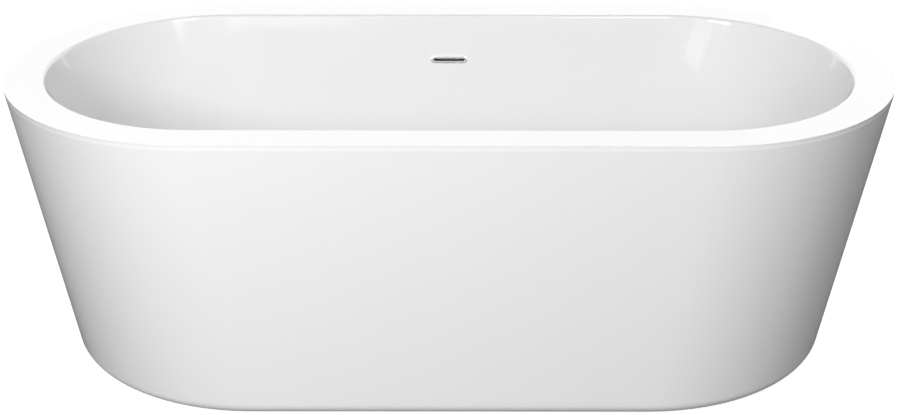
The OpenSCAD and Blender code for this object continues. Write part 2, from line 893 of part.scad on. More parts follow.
module waste_tee() {
    color(white_plastic)
        difference() {
            union() {
                translate([0, waste_y, tee_under_z + slip_nut_grip + 1])
                    cylinder(r = tee_r, h = tee_top_z - tee_under_z - slip_nut_grip - 1);
                at_tail_joint()
                    slip_spigot(tail_spigot_r, tail_socket + 2);
                at_arm_joint()
                    slip_spigot(overflow_pipe_r, arm_end_y - waste_y);
            }
            translate([0, waste_y, waste_end_z])
                cylinder(r = waste_thread_r + running_fit, h = tee_socket + cut);
            translate([0, waste_y, tee_under_z + tail_socket])
                cylinder(r = waste_bore_r - guide_ledge, h = waste_end_z - tee_under_z);
            translate([0, waste_y, tee_under_z - cut])
                cylinder(r = tail_spigot_r + running_fit, h = tail_socket + cut);
            translate([0, waste_y, tee_under_z])
                cylinder(r = tail_pipe_r - pipe_wall, h = tail_socket + 2 * cut);
            at_arm_joint()
                translate([0, 0, -arm_socket])
                    cylinder(r = overflow_pipe_r + running_fit, h = arm_socket + cut);
            at_arm_joint()
                translate([0, 0, -(arm_end_y - waste_y)])
                    cylinder(r = overflow_pipe_r - pipe_wall, h = arm_end_y - waste_y);
        }
}

module tail_pipe() {
    bore_r = tail_pipe_r - pipe_wall;
    top_z = tee_under_z + tail_socket - cut;
    color(chrome)
        translate([0, waste_y, 0])
            difference() {
                union() {
                    translate([0, 0, tail_end_z])
                        cylinder(r = tail_pipe_r, h = tail_shoulder_z - tail_end_z);
                    translate([0, 0, tail_end_z])
                        cylinder(r = tail_spigot_r, h = top_z - tail_end_z);
                }
                translate([0, 0, tail_end_z - cut])
                    cylinder(r = bore_r, h = top_z - tail_end_z + 2 * cut);
            }
}

module tail_slip_nut() {
    at_tail_joint()
        slip_nut(tail_spigot_r);
}

module tail_slip_washer() {
    at_tail_joint()
        slip_washer(tail_spigot_r);
}

// ---- Overflow ----

// Frame of the overflow, +Z pointing out of the wall into the basin and +Y up the wall
module at_overflow(z = 0) {
    translate([0, overflow_y, overflow_z])
        rotate([90 - basin_side_lean, 0, 0])
            translate([0, 0, z])
                children();
}

module overflow_trim() {
    color(chrome)
        at_overflow()
            difference() {
                union() {
                    obround(trim_length, trim_height, trim_thick * 0.7);
                    obround(trim_length - trim_thick * 0.6, trim_height - trim_thick * 0.6, trim_thick);
                    translate([0, 0, -neck_depth])
                        obround(neck_length, neck_height, neck_depth + cut);
                }
                translate([0, 0, -neck_depth - cut])
                    obround(slot_length, slot_height, neck_depth + trim_thick + 2 * cut);
            }
}

module overflow_gasket() {
    color(black_rubber)
        at_overflow(-shell_wall - seal_h)
            difference() {
                obround(neck_length + 2 * gasket_lip, neck_height + 2 * gasket_lip, seal_h);
                translate([0, 0, -cut])
                    obround(neck_length + 2 * loose_fit, neck_height + 2 * loose_fit, seal_h + 2 * cut);
            }
}

module overflow_hopper() {
    inner_x = neck_length + 2 * loose_fit;
    outer_x = inner_x + 2 * hopper_wall;
    pipe_top_z = overflow_z - hopper_height / 2;
    color(white_plastic)
        difference() {
            union() {
                at_overflow(-hopper_back - hopper_flange)
                    obround(neck_length + 2 * gasket_lip, neck_height + 2 * gasket_lip, hopper_flange);
                at_overflow(-hopper_back - hopper_depth)
                    translate([-outer_x / 2, -hopper_height / 2, 0])
                        cube([outer_x, hopper_height, hopper_depth]);
                at_hopper_joint()
                    translate([0, 0, -(pipe_top_z - hopper_end_z)])
                        cylinder(r = overflow_pipe_r + running_fit + spigot_wall, h = pipe_top_z - hopper_end_z);
            }
            at_overflow(-hopper_back - hopper_depth + hopper_wall)
                translate([-inner_x / 2, -hopper_height / 2 + hopper_wall, 0])
                    cube([inner_x, hopper_height - 2 * hopper_wall, hopper_depth]);
            translate([0, pipe_y, hopper_end_z - cut])
                cylinder(r = overflow_pipe_r + running_fit, h = hopper_socket + cut);
            translate([0, pipe_y, hopper_end_z])
                cylinder(r = overflow_pipe_r - pipe_wall, h = pipe_top_z - hopper_end_z + hopper_wall + 2);
        }
}

module overflow_pipe() {
    bend_y = pipe_y - overflow_bend_r;
    bend_z = arm_z + overflow_bend_r;
    inner_r = overflow_pipe_r - pipe_wall;
    socket_y = arm_end_y - pipe_in_arm;
    color(chrome) {
        translate([0, pipe_y, bend_z])
            washer(overflow_pipe_r, inner_r, hopper_end_z + pipe_in_hopper - bend_z);
        translate([0, bend_y, bend_z])
            rotate([-90, 0, 90])
                rotate_extrude(angle = 90)
                    translate([overflow_bend_r, 0])
                        difference() {
                            circle(r = overflow_pipe_r);
                            circle(r = inner_r);
                        }
        translate([0, socket_y, arm_z])
            rotate([-90, 0, 0])
                washer(overflow_pipe_r, inner_r, bend_y - socket_y);
    }
}

module overflow_upper_nut() {
    at_hopper_joint()
        slip_nut(overflow_pipe_r);
}

module overflow_upper_washer() {
    at_hopper_joint()
        slip_washer(overflow_pipe_r);
}

module overflow_lower_nut() {
    at_arm_joint()
        slip_nut(overflow_pipe_r);
}

module overflow_lower_washer() {
    at_arm_joint()
        slip_washer(overflow_pipe_r);
}

basin_shell();
outer_skirt();
rim_joint_filler();
floor_board();
rail(-1);  // rail_front
rail(1);  // rail_rear
cross_member(-cross_x, cross_length);  // cross_member_left
cross_member(middle_cross_x, rail_spacing + tube_size);  // cross_member_middle
cross_member(cross_x, cross_length);  // cross_member_right
tube_end_caps();
weld_nuts();
board_screws();
skirt_bracket(bracket_corners[0]);  // skirt_bracket_1
skirt_bracket(bracket_corners[1]);  // skirt_bracket_2
skirt_bracket(bracket_corners[2]);  // skirt_bracket_3
skirt_bracket(bracket_corners[3]);  // skirt_bracket_4
bracket_screws();
flange_screws();
foot_pad(0);  // foot_pad_1
foot_pad(1);  // foot_pad_2
foot_pad(2);  // foot_pad_3
foot_pad(3);  // foot_pad_4
foot_pad(4);  // foot_pad_5
foot_stem(0);  // foot_stem_1
foot_stem(1);  // foot_stem_2
foot_stem(2);  // foot_stem_3
foot_stem(3);  // foot_stem_4
foot_stem(4);  // foot_stem_5
foot_locknut(0);  // foot_locknut_1
foot_locknut(1);  // foot_locknut_2
foot_locknut(2);  // foot_locknut_3
foot_locknut(3);  // foot_locknut_4
foot_locknut(4);  // foot_locknut_5
waste_flange();
waste_gasket_upper();
waste_gasket_lower();
waste_washer();
waste_locknut();
plug_guide();
plug_cap();
plug_stem();
plug_seal();
plug_spring();
waste_tee();
tail_pipe();
tail_slip_nut();
tail_slip_washer();
overflow_trim();
overflow_gasket();
overflow_hopper();
overflow_pipe();
overflow_upper_nut();
overflow_upper_washer();
overflow_lower_nut();
overflow_lower_washer();
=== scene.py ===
"""Dresses a freestanding double-ended bath: shells, base frame, feet, waste and overflow.

Metres, +Z up. X runs along the bath and +Y points to the overflow side. The origin is on the
floor, under the middle of the bath.
"""

from __future__ import annotations

import json
import logging
import math
from dataclasses import dataclass
from enum import Enum
from typing import Any, Optional, Sequence, Union

import bmesh
import bpy
from mathutils import Matrix, Vector

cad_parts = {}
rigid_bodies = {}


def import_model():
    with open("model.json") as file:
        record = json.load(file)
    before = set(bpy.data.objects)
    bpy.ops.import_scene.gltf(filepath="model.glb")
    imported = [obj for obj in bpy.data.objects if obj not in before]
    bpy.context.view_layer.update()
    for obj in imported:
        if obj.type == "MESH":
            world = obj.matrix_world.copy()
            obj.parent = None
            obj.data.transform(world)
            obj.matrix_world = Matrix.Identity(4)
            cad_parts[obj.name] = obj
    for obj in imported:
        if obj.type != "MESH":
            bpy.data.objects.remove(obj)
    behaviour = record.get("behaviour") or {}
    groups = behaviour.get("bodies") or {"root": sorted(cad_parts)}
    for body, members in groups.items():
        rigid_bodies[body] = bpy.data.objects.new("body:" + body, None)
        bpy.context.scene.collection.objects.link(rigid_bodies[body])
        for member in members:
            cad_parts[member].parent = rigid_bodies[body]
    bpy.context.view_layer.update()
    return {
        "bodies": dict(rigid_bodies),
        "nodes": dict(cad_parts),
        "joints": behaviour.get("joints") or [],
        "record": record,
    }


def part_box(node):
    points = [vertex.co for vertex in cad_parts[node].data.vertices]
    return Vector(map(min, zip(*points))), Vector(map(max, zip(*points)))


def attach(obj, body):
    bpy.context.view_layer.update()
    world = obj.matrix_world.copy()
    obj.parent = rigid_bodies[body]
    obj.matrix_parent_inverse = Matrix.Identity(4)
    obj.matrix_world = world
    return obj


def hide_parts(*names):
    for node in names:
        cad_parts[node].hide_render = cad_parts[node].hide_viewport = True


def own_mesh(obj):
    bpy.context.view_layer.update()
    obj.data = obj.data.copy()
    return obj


LOG = logging.getLogger("bath")

Colour = tuple[float, float, float]
Point = tuple[float, float, float]
Number = Union["Signal", float]
Outline = list[tuple[float, float]]
Corner = tuple[float, float, float]
Station = tuple[float, float, float]

FULL_TURN = 2.0 * math.pi
QUARTER_TURN = math.pi / 2.0
MERGE_DISTANCE = 0.000002
LEAST_AREA = 1e-14
CREASE_ANGLE = math.radians(32.0)


class Slot(Enum):
    """The record's material slots."""

    ACRYLIC = "acrylic"
    FILLER = "joint_filler"
    PLYWOOD = "plywood"
    GALVANISED = "galvanised_steel"
    ZINC = "zinc_hardware"
    CHROME = "chrome"
    BRASS = "brass"
    RUBBER = "black_rubber"
    GREY = "grey_plastic"
    BLACK = "black_plastic"
    WHITE = "white_plastic"


# ---- Node graphs ----


class Signal:
    """One output socket of a node graph, for writing its maths as expressions."""

    def __init__(self, graph: "NodeGraph", socket: bpy.types.NodeSocket) -> None:
        """Wraps a socket.

        Args:
            graph: the graph that the socket's node is in.
            socket: the output socket.
        """
        self.graph = graph
        self.socket = socket

    def _maths(self, operation: str, left: Number, right: Number) -> "Signal":
        """Adds a Math node.

        Args:
            operation: the Math node's operation.
            left: its first value.
            right: its second value.

        Returns:
            The node's value.
        """
        return self.graph.node("ShaderNodeMath", {"operation": operation}, {0: left, 1: right})

    def __add__(self, other: Number) -> "Signal":
        """Self plus other."""
        return self._maths("ADD", self, other)

    def __radd__(self, other: Number) -> "Signal":
        """Other plus self."""
        return self._maths("ADD", other, self)

    def __sub__(self, other: Number) -> "Signal":
        """Self less other."""
        return self._maths("SUBTRACT", self, other)

    def __rsub__(self, other: Number) -> "Signal":
        """Other less self."""
        return self._maths("SUBTRACT", other, self)

    def __mul__(self, other: Number) -> "Signal":
        """Self times other."""
        return self._maths("MULTIPLY", self, other)

    def __rmul__(self, other: Number) -> "Signal":
        """Other times self."""
        return self._maths("MULTIPLY", other, self)

    def __truediv__(self, other: Number) -> "Signal":
        """Self over other."""
        return self._maths("DIVIDE", self, other)

    def __rtruediv__(self, other: Number) -> "Signal":
        """Other over self."""
        return self._maths("DIVIDE", other, self)

    def __mod__(self, other: Number) -> "Signal":
        """The remainder of self over other, never negative."""
        return self._maths("FLOORED_MODULO", self, other)

    def floor(self) -> "Signal":
        """The whole part."""
        return self._maths("FLOOR", self, 0.0)

    def sine(self) -> "Signal":
        """The sine, in radians."""
        return self._maths("SINE", self, 0.0)

    def cosine(self) -> "Signal":
        """The cosine, in radians."""
        return self._maths("COSINE", self, 0.0)

    def least(self, other: Number) -> "Signal":
        """The smaller of self and other."""
        return self._maths("MINIMUM", self, other)

    def most(self, other: Number) -> "Signal":
        """The larger of self and other."""
        return self._maths("MAXIMUM", self, other)

    def away(self) -> "Signal":
        """The absolute value."""
        return self._maths("ABSOLUTE", self, 0.0)


class NodeGraph:
    """A node tree that is built by calls."""

    def __init__(self, tree: bpy.types.NodeTree) -> None:
        """Takes a tree and empties it.

        Args:
            tree: the node tree.
        """
        self.tree = tree
        tree.nodes.clear()

    def node(
        self,
        kind: str,
        settings: Optional[dict[str, Any]] = None,
        inputs: Optional[dict[Union[int, str], Any]] = None,
        output: Union[int, str] = 0,
    ) -> Signal:
        """Adds a node, sets it up and fills its sockets.

        Args:
            kind: the node's type.
            settings: its properties, set before its sockets; "stops" sets a colour ramp's stops.
            inputs: a value or a Signal for each socket, by number or name.
            output: the output socket to return, by number or name.

        Returns:
            The chosen output, or the first input of a node that has no outputs.
        """
        made = self.tree.nodes.new(kind)
        for name, value in (settings or {}).items():
            if name == "stops":
                self._set_stops(made.color_ramp, value)
            else:
                setattr(made, name, value)
        for key, value in (inputs or {}).items():
            self.fill(made.inputs[key], value)
        return Signal(self, made.outputs[output] if made.outputs else made.inputs[0])

    def fill(self, socket: bpy.types.NodeSocket, value: Any) -> None:
        """Links a Signal to an input socket, or sets the socket's value.

        Args:
            socket: the input socket.
            value: a Signal or a plain value.
        """
        if isinstance(value, Signal):
            self.tree.links.new(value.socket, socket)
        else:
            socket.default_value = value

    @staticmethod
    def _set_stops(ramp: bpy.types.ColorRamp, stops: Sequence[tuple[float, float]]) -> None:
        """Gives a colour ramp its grey stops.

        Args:
            ramp: the ramp.
            stops: a place and a grey level for each stop, two at least.
        """
        while len(ramp.elements) < len(stops):
            ramp.elements.new(0.5)
        for element, (place, level) in zip(ramp.elements, stops):
            element.position = place
            element.color = (level, level, level, 1.0)


class ShaderGraph(NodeGraph):
    """A material's node tree, with one Principled shader."""

    def __init__(self, name: str) -> None:
        """Makes a new material.

        Args:
            name: the material's name.
        """
        self.material = bpy.data.materials.new(name)
        self.material.use_nodes = True
        super().__init__(self.material.node_tree)
        surface = self.node("ShaderNodeBsdfPrincipled")
        self.shader = surface.socket.node
        self.node("ShaderNodeOutputMaterial", None, {"Surface": surface})
        self.place = self.node("ShaderNodeTexCoord", output="Object")

    def feed(self, socket: str, value: Any) -> None:
        """Sets or links one of the shader's sockets.

        Args:
            socket: the socket's name.
            value: a Signal, a number or a colour.
        """
        opaque = (*value, 1.0) if isinstance(value, tuple) else value
        self.fill(self.shader.inputs[socket], opaque)

    def noise(self, scale: float, detail: float = 3.0, stretch: Point = (1.0, 1.0, 1.0)) -> Signal:
        """Noise over the object's own coordinates, about 0.5 on average.

        Args:
            scale: the noise's cells in a metre.
            detail: its octaves.
            stretch: a factor on each axis.

        Returns:
            The noise's value.
        """
        place = self.node("ShaderNodeMapping", None, {"Vector": self.place, "Scale": stretch})
        cells = {"Vector": place, "Scale": scale, "Detail": detail}
        return self.node("ShaderNodeTexNoise", None, cells, "Fac")

    def blend(self, mask: Number, low: Colour, high: Colour) -> Signal:
        """A colour between two.

        Args:
            mask: 0 for the low colour and 1 for the high one.
            low: the first colour.
            high: the second colour.

        Returns:
            The blended colour.
        """
        colours = {0: mask, 6: (*low, 1.0), 7: (*high, 1.0)}
        return self.node("ShaderNodeMix", {"data_type": "RGBA"}, colours, 2)

    def ramp(self, value: Signal, stops: Sequence[tuple[float, float]]) -> Signal:
        """A value through a grey colour ramp.

        Args:
            value: what goes in.
            stops: a place and a level for each stop.

        Returns:
            The level.
        """
        return self.node("ShaderNodeValToRGB", {"stops": stops}, {"Fac": value})

    def bump(self, height: Signal, depth: float) -> None:
        """Feeds a bump into the shader's normal.

        Args:
            height: the surface's height, from 0 to 1.
            depth: how deep that is, in metres.
        """
        bumped = self.node("ShaderNodeBump", None, {"Height": height, "Distance": depth, "Strength": 1.0})
        self.feed("Normal", bumped)


# ---- Finishes ----


@dataclass(frozen=True)
class Finish:
    """A surface finish, with a slight change of colour and gloss over the surface."""

    name: str
    slot: Slot
    colour: Colour
    roughness: float
    metallic: float = 0.0
    colour_drift: float = 0.03
    roughness_drift: float = 0.05
    drift_scale: float = 6.0
    grain_scale: float = 400.0
    grain_depth: float = 0.00001
    index: float = 1.5

    def material(self) -> bpy.types.Material:
        """Builds the finish's material, once.

        Returns:
            The material.
        """
        made = bpy.data.materials.get(self.name)
        if made:
            return made
        graph = ShaderGraph(self.name)
        graph.feed("Metallic", self.metallic)
        graph.feed("IOR", self.index)
        self.dress(graph)
        return graph.material

    def darker(self) -> Colour:
        """The finish's colour where it drifts dark."""
        low = 1.0 - self.colour_drift
        return (self.colour[0] * low, self.colour[1] * low, self.colour[2] * low)

    def feed_gloss(self, graph: ShaderGraph, change: Signal) -> None:
        """Feeds a roughness that drifts about the finish's own.

        Args:
            graph: the material's graph.
            change: where it is rougher, from 0 to 1.
        """
        low = self.roughness - self.roughness_drift / 2.0
        graph.feed("Roughness", change * self.roughness_drift + low)

    def dress(self, graph: ShaderGraph) -> None:
        """Feeds the shader's colour, roughness and bump.

        Args:
            graph: the material's graph.
        """
        drift = graph.noise(self.drift_scale)
        grain = graph.noise(self.grain_scale, 2.0)
        graph.feed("Base Color", graph.blend(drift, self.darker(), self.colour))
        self.feed_gloss(graph, drift)
        graph.bump(grain, self.grain_depth)


@dataclass(frozen=True)
class GlossAcrylic(Finish):
    """Vacuum-formed acrylic: a wet gloss with a very faint long ripple."""

    ripple_scale: float = 9.0
    ripple_depth: float = 0.00006

    def dress(self, graph: ShaderGraph) -> None:
        """Feeds colour, gloss with a trace of fine polish marks, and a long ripple.

        Args:
            graph: the material's graph.
        """
        drift = graph.noise(self.drift_scale, 2.0)
        ripple = graph.noise(self.ripple_scale, 1.0)
        polish = graph.noise(self.grain_scale, 2.0)
        graph.feed("Base Color", graph.blend(drift, self.darker(), self.colour))
        self.feed_gloss(graph, polish)
        graph.bump(ripple, self.ripple_depth)


@dataclass(frozen=True)
class GlassFibreBack(Finish):
    """The back of a shell: chopped glass strands rolled into cloudy resin."""

    strand_colour: Colour = (0.78, 0.77, 0.70)
    strand_scale: float = 260.0
    crossed_scale: float = 240.0
    lump_scale: float = 35.0
    bare_resin: float = 0.45
    full_strand: float = 0.68

    def dress(self, graph: ShaderGraph) -> None:
        """Feeds strands at two angles, lumps of resin and their roughness.

        Args:
            graph: the material's graph.
        """
        strands = graph.noise(self.strand_scale, 4.0, (1.0, 0.12, 1.0))
        crossed = graph.noise(self.crossed_scale, 4.0, (0.12, 1.0, 0.6))
        lumps = graph.noise(self.lump_scale, 3.0)
        mat = graph.ramp(strands.most(crossed), ((self.bare_resin, 0.0), (self.full_strand, 1.0)))
        graph.feed("Base Color", graph.blend(mat, self.colour, self.strand_colour))
        graph.feed("Roughness", self.roughness - mat * self.roughness_drift)
        graph.bump(mat * 0.5 + lumps, self.grain_depth)


@dataclass(frozen=True)
class ZincFinish(Finish):
    """Zinc on steel, with the pale and dark crystals of a dipped coat."""

    crystal_scale: float = 90.0
    streak_scale: float = 30.0
    streak_drift: float = 0.1

    def dress(self, graph: ShaderGraph) -> None:
        """Feeds crystals, faint streaks and a fine bump.

        Args:
            graph: the material's graph.
        """
        cells = {"Vector": graph.place, "Scale": self.crystal_scale}
        crystals = graph.node("ShaderNodeTexVoronoi", None, cells, "Color")
        cell = graph.node("ShaderNodeSeparateColor", None, {0: crystals}, 0)
        streaks = graph.noise(self.streak_scale, 3.0)
        graph.feed("Base Color", graph.blend(cell, self.darker(), self.colour))
        crystal_change = (cell - 0.5) * self.roughness_drift
        streak_change = (streaks - 0.5) * self.streak_drift
        graph.feed("Roughness", self.roughness + crystal_change + streak_change)
        graph.bump(streaks, self.grain_depth)


@dataclass(frozen=True)
class PlywoodFinish(Finish):
    """Plywood sealed with resin, its grain along the bath."""

    late_wood: Colour = (0.46, 0.30, 0.15)
    wave_scale: float = 14.0
    bands_a_wave: float = 9.0

    def dress(self, graph: ShaderGraph) -> None:
        """Feeds long grain, fine pores and a satin seal.

        Args:
            graph: the material's graph.
        """
        waves = graph.noise(self.wave_scale, 4.0, (0.12, 1.0, 1.0))
        pores = graph.noise(self.grain_scale, 3.0, (0.05, 1.0, 1.0))
        bands = ((waves * self.bands_a_wave) % 1.0 - 0.5).away() * 2.0
        mask = (bands * 0.6 + pores * 0.5) * 0.8
        graph.feed("Base Color", graph.blend(mask, self.late_wood, self.colour))
        graph.feed("Roughness", self.roughness + pores * self.roughness_drift)
        graph.bump(pores, self.grain_depth)


ACRYLIC = GlossAcrylic(
    "gloss_white_acrylic", Slot.ACRYLIC, (0.80, 0.80, 0.80), 0.07,
    colour_drift=0.01, roughness_drift=0.03, drift_scale=2.0, grain_scale=900.0, index=1.49,
)
GLASS_FIBRE = GlassFibreBack(
    "glass_fibre_back", Slot.ACRYLIC, (0.62, 0.58, 0.46), 0.55, roughness_drift=0.15, grain_depth=0.0015,
)
FILLER = Finish(
    "white_joint_filler", Slot.FILLER, (0.80, 0.80, 0.80), 0.2, grain_depth=0.00002,
)
PLYWOOD = PlywoodFinish(
    "resin_sealed_plywood", Slot.PLYWOOD, (0.70, 0.52, 0.31), 0.42,
    roughness_drift=0.2, grain_scale=180.0, grain_depth=0.0003,
)
GALVANISED = ZincFinish(
    "galvanised_tube", Slot.GALVANISED, (0.60, 0.61, 0.62), 0.38, metallic=1.0,
    colour_drift=0.25, roughness_drift=0.15, grain_depth=0.0002,
)
ZINC = Finish(
    "bright_zinc_plate", Slot.ZINC, (0.72, 0.72, 0.70), 0.26, metallic=1.0,
    colour_drift=0.08, roughness_drift=0.1, drift_scale=35.0, grain_scale=900.0, grain_depth=0.00002,
)
CHROME = Finish(
    "polished_chrome", Slot.CHROME, (0.86, 0.87, 0.88), 0.06, metallic=1.0,
    colour_drift=0.02, roughness_drift=0.03, drift_scale=30.0, grain_scale=700.0,
)
BRASS = Finish(
    "turned_brass", Slot.BRASS, (0.74, 0.58, 0.30), 0.26, metallic=1.0,
    colour_drift=0.12, roughness_drift=0.12, drift_scale=45.0, grain_depth=0.00005,
)
RUBBER = Finish(
    "matt_black_rubber", Slot.RUBBER, (0.035, 0.035, 0.035), 0.72,
    colour_drift=0.25, roughness_drift=0.15, drift_scale=60.0, grain_depth=0.0001,
)
GREY_PLASTIC = Finish(
    "moulded_grey_plastic", Slot.GREY, (0.13, 0.13, 0.135), 0.48,
    colour_drift=0.12, roughness_drift=0.12, drift_scale=40.0, grain_depth=0.00008,
)
BLACK_PLASTIC = Finish(
    "moulded_black_plastic", Slot.BLACK, (0.03, 0.03, 0.03), 0.45,
    colour_drift=0.2, roughness_drift=0.12, drift_scale=40.0, grain_depth=0.00008,
)
WHITE_PLASTIC = Finish(
    "moulded_white_plastic", Slot.WHITE, (0.80, 0.80, 0.78), 0.38,
    colour_drift=0.04, roughness_drift=0.1, drift_scale=40.0, grain_depth=0.00006,
)


# ---- Geometry trees ----


class Kind(Enum):
    """The kinds of socket that a geometry tree's inputs have."""

    GEOMETRY = "NodeSocketGeometry"
    LENGTH = "NodeSocketFloat"
    COUNT = "NodeSocketInt"
    MATERIAL = "NodeSocketMaterial"


class GeometryGraph(NodeGraph):
    """A Geometry Nodes tree with named inputs, which ends in Realize Instances and Set Material."""

    def __init__(self, name: str, inputs: dict[str, Kind]) -> None:
        """Makes a new tree.

        Args:
            name: the tree's name.
            inputs: its inputs besides the geometry and the material, in order.
        """
        tree = bpy.data.node_groups.new(name, "GeometryNodeTree")
        super().__init__(tree)
        self.identifiers: dict[str, str] = {}
        wanted = {"Geometry": Kind.GEOMETRY, **inputs, "Material": Kind.MATERIAL}
        for label, kind in wanted.items():
            socket = tree.interface.new_socket(name=label, in_out="INPUT", socket_type=kind.value)
            self.identifiers[label] = socket.identifier
        tree.interface.new_socket(name="Geometry", in_out="OUTPUT", socket_type=Kind.GEOMETRY.value)
        self.inputs_node = self.node("NodeGroupInput").socket.node

    def given(self, label: str) -> Signal:
        """One of the tree's inputs.

        Args:
            label: the input's name.

        Returns:
            Its value.
        """
        return Signal(self, self.inputs_node.outputs[label])

    def close(self, geometry: Signal) -> None:
        """Ends the tree.

        Args:
            geometry: what the tree made.
        """
        real = self.node("GeometryNodeRealizeInstances", None, {0: geometry})
        coat = {"Geometry": real, "Material": self.given("Material")}
        self.node("NodeGroupOutput", None, {0: self.node("GeometryNodeSetMaterial", None, coat)})

    def smooth(self, geometry: Signal) -> Signal:
        """The geometry, shaded smooth."""
        return self.node("GeometryNodeSetShadeSmooth", None, {"Geometry": geometry})

    def lattice(self, rows: Number, columns: Signal) -> tuple[Signal, Signal, Signal]:
        """A sheet of vertices in rows, ready to be put in place.

        Args:
            rows: how many rows it has.
            columns: how many vertices a row has.

        Returns:
            The sheet, and each vertex's row and column.
        """
        sheet = self.node("GeometryNodeMeshGrid", None, {"Vertices X": rows, "Vertices Y": columns})
        index = self.node("GeometryNodeInputIndex")
        row = (index / columns).floor()
        return sheet, row, index - row * columns

    def close_lattice(self, sheet: Signal, where: Signal) -> None:
        """Puts a sheet's vertices in place, merges those that meet and ends the tree.

        Args:
            sheet: the sheet of vertices.
            where: each vertex's place.
        """
        moved = self.node("GeometryNodeSetPosition", None, {"Geometry": sheet, "Position": where})
        meeting = {"Geometry": moved, "Distance": MERGE_DISTANCE}
        self.close(self.smooth(self.node("GeometryNodeMergeByDistance", None, meeting)))

    def at(self, points: Signal, instance: Signal) -> Signal:
        """The same piece on each of some points."""
        return self.node("GeometryNodeInstanceOnPoints", None, {"Points": points, "Instance": instance})

    def raised(self, geometry: Signal, height: Signal) -> Signal:
        """The geometry, moved up."""
        lift = self.node("ShaderNodeCombineXYZ", None, {2: height})
        return self.node("GeometryNodeTransform", None, {"Geometry": geometry, "Translation": lift})

    def count(self, seed: Signal) -> Signal:
        """How many vertices a seed has."""
        return self.node("GeometryNodeAttributeDomainSize", None, {0: seed}, "Point Count")

    def sampled(
        self, seed: Signal, row: Signal, attribute: Optional[str] = None, kind: str = "FLOAT"
    ) -> Signal:
        """The place of one of a seed's vertices, or one of its attributes.

        Args:
            seed: the seed.
            row: the vertex's number.
            attribute: the attribute's name, or None for the place.
            kind: the attribute's data type.

        Returns:
            The value at that vertex.
        """
        if attribute is None:
            kind = "FLOAT_VECTOR"
            value = self.node("GeometryNodeInputPosition")
        else:
            named = {"Name": attribute}
            value = self.node("GeometryNodeInputNamedAttribute", {"data_type": kind}, named, "Attribute")
        wanted = {"Geometry": seed, "Value": value, "Index": row}
        return self.node("GeometryNodeSampleIndex", {"data_type": kind}, wanted)

    def bake(self, name: str, seed: bpy.types.Mesh, values: dict[str, Any]) -> bpy.types.Mesh:
        """Runs the tree on a mesh.

        Args:
            name: the result's name.
            seed: the mesh that the tree starts from.
            values: a value for each named input.

        Returns:
            The tree's result as a plain mesh.
        """
        carrier = bpy.data.objects.new(name + "_seed", seed)
        bpy.context.collection.objects.link(carrier)
        modifier = carrier.modifiers.new("Shape", "NODES")
        modifier.node_group = self.tree
        for label, value in values.items():
            modifier[self.identifiers[label]] = value
        bpy.context.view_layer.update()
        graph = bpy.context.evaluated_depsgraph_get()
        mesh = bpy.data.meshes.new_from_object(carrier.evaluated_get(graph), depsgraph=graph)
        mesh.name = name
        carrier.modifiers.remove(modifier)
        bpy.data.objects.remove(carrier)
        return mesh


class ShellTree:
    """Lofts obround rings: each has two straight sides and two round ends.

    The seed mesh has one vertex for each ring, whose x, y and z are the ring's half width, its
    middle along Y and its height, and whose "half_length" attribute is its half length.
    """

    def __init__(self) -> None:
        """Builds the tree."""
        g = GeometryGraph("ObroundShell", {"End Steps": Kind.COUNT, "Side Steps": Kind.COUNT})
        self.graph = g
        rings = g.given("Geometry")
        ends = g.given("End Steps")
        sides = g.given("Side Steps")
        half_turn = ends + sides
        sheet, row, column = g.lattice(g.count(rings), half_turn * 2.0 + 1.0)
        half = (column / half_turn).floor().least(1.0)
        step = column - half * half_turn
        arc = (step / ends).least(1.0)
        along = ((step - ends) / sides).most(0.0)
        eased = along * along * (3.0 - along * 2.0)
        angle = (half + arc) * math.pi - QUARTER_TURN
        side = 1.0 - half * 2.0
        place = g.sampled(rings, row)
        half_length = g.sampled(rings, row, "half_length")
        parts = [g.node("ShaderNodeSeparateXYZ", None, {0: place}, axis) for axis in range(3)]
        x = side * (1.0 - eased * 2.0) * (half_length - parts[0]) + parts[0] * angle.cosine()
        y = parts[1] + parts[0] * angle.sine()
        g.close_lattice(sheet, g.node("ShaderNodeCombineXYZ", None, {0: x, 1: y, 2: parts[2]}))

    def loft(
        self,
        name: str,
        rings: Sequence["Ring"],
        finish: Finish,
        end_steps: int = 64,
        side_steps: int = 16,
    ) -> bpy.types.Mesh:
        """Lofts rings into a closed shell.

        Args:
            name: the mesh's name.
            rings: the rings, whose last is the first again on a closed section.
            finish: the shell's finish.
            end_steps: the steps round each end.
            side_steps: the steps along each side.

        Returns:
            The shell, its faces pointing outwards.
        """
        seed = bpy.data.meshes.new(name + "_rings")
        seed.from_pydata([(r.half_width, r.middle, r.height) for r in rings], [], [])
        lengths = seed.attributes.new("half_length", "FLOAT", "POINT")
        lengths.data.foreach_set("value", [r.half_length for r in rings])
        values = {"End Steps": end_steps, "Side Steps": side_steps, "Material": finish.material()}
        mesh = self.graph.bake(name, seed, values)
        face_outwards(mesh)
        return mesh


class CoilTree:
    """Winds a round wire into a coil spring."""

    STEPS_A_TURN = 24
    WIRE_SIDES = 10

    def __init__(self) -> None:
        """Builds the tree."""
        labels = ("Radius", "Height", "Turns", "Wire Radius")
        g = GeometryGraph("CoilSpring", {label: Kind.LENGTH for label in labels})
        self.graph = g
        radius = g.given("Radius")
        coil = {
            "Resolution": self.STEPS_A_TURN, "Rotations": g.given("Turns"), "Height": g.given("Height"),
            "Start Radius": radius, "End Radius": radius, "Reverse": False,
        }
        path = g.node("GeometryNodeCurveSpiral", None, coil)
        round_wire = {"Resolution": self.WIRE_SIDES, "Radius": g.given("Wire Radius")}
        wire = g.node("GeometryNodeCurvePrimitiveCircle", None, round_wire)
        sweep = {"Curve": path, "Profile Curve": wire, "Fill Caps": True}
        g.close(g.smooth(g.node("GeometryNodeCurveToMesh", None, sweep)))


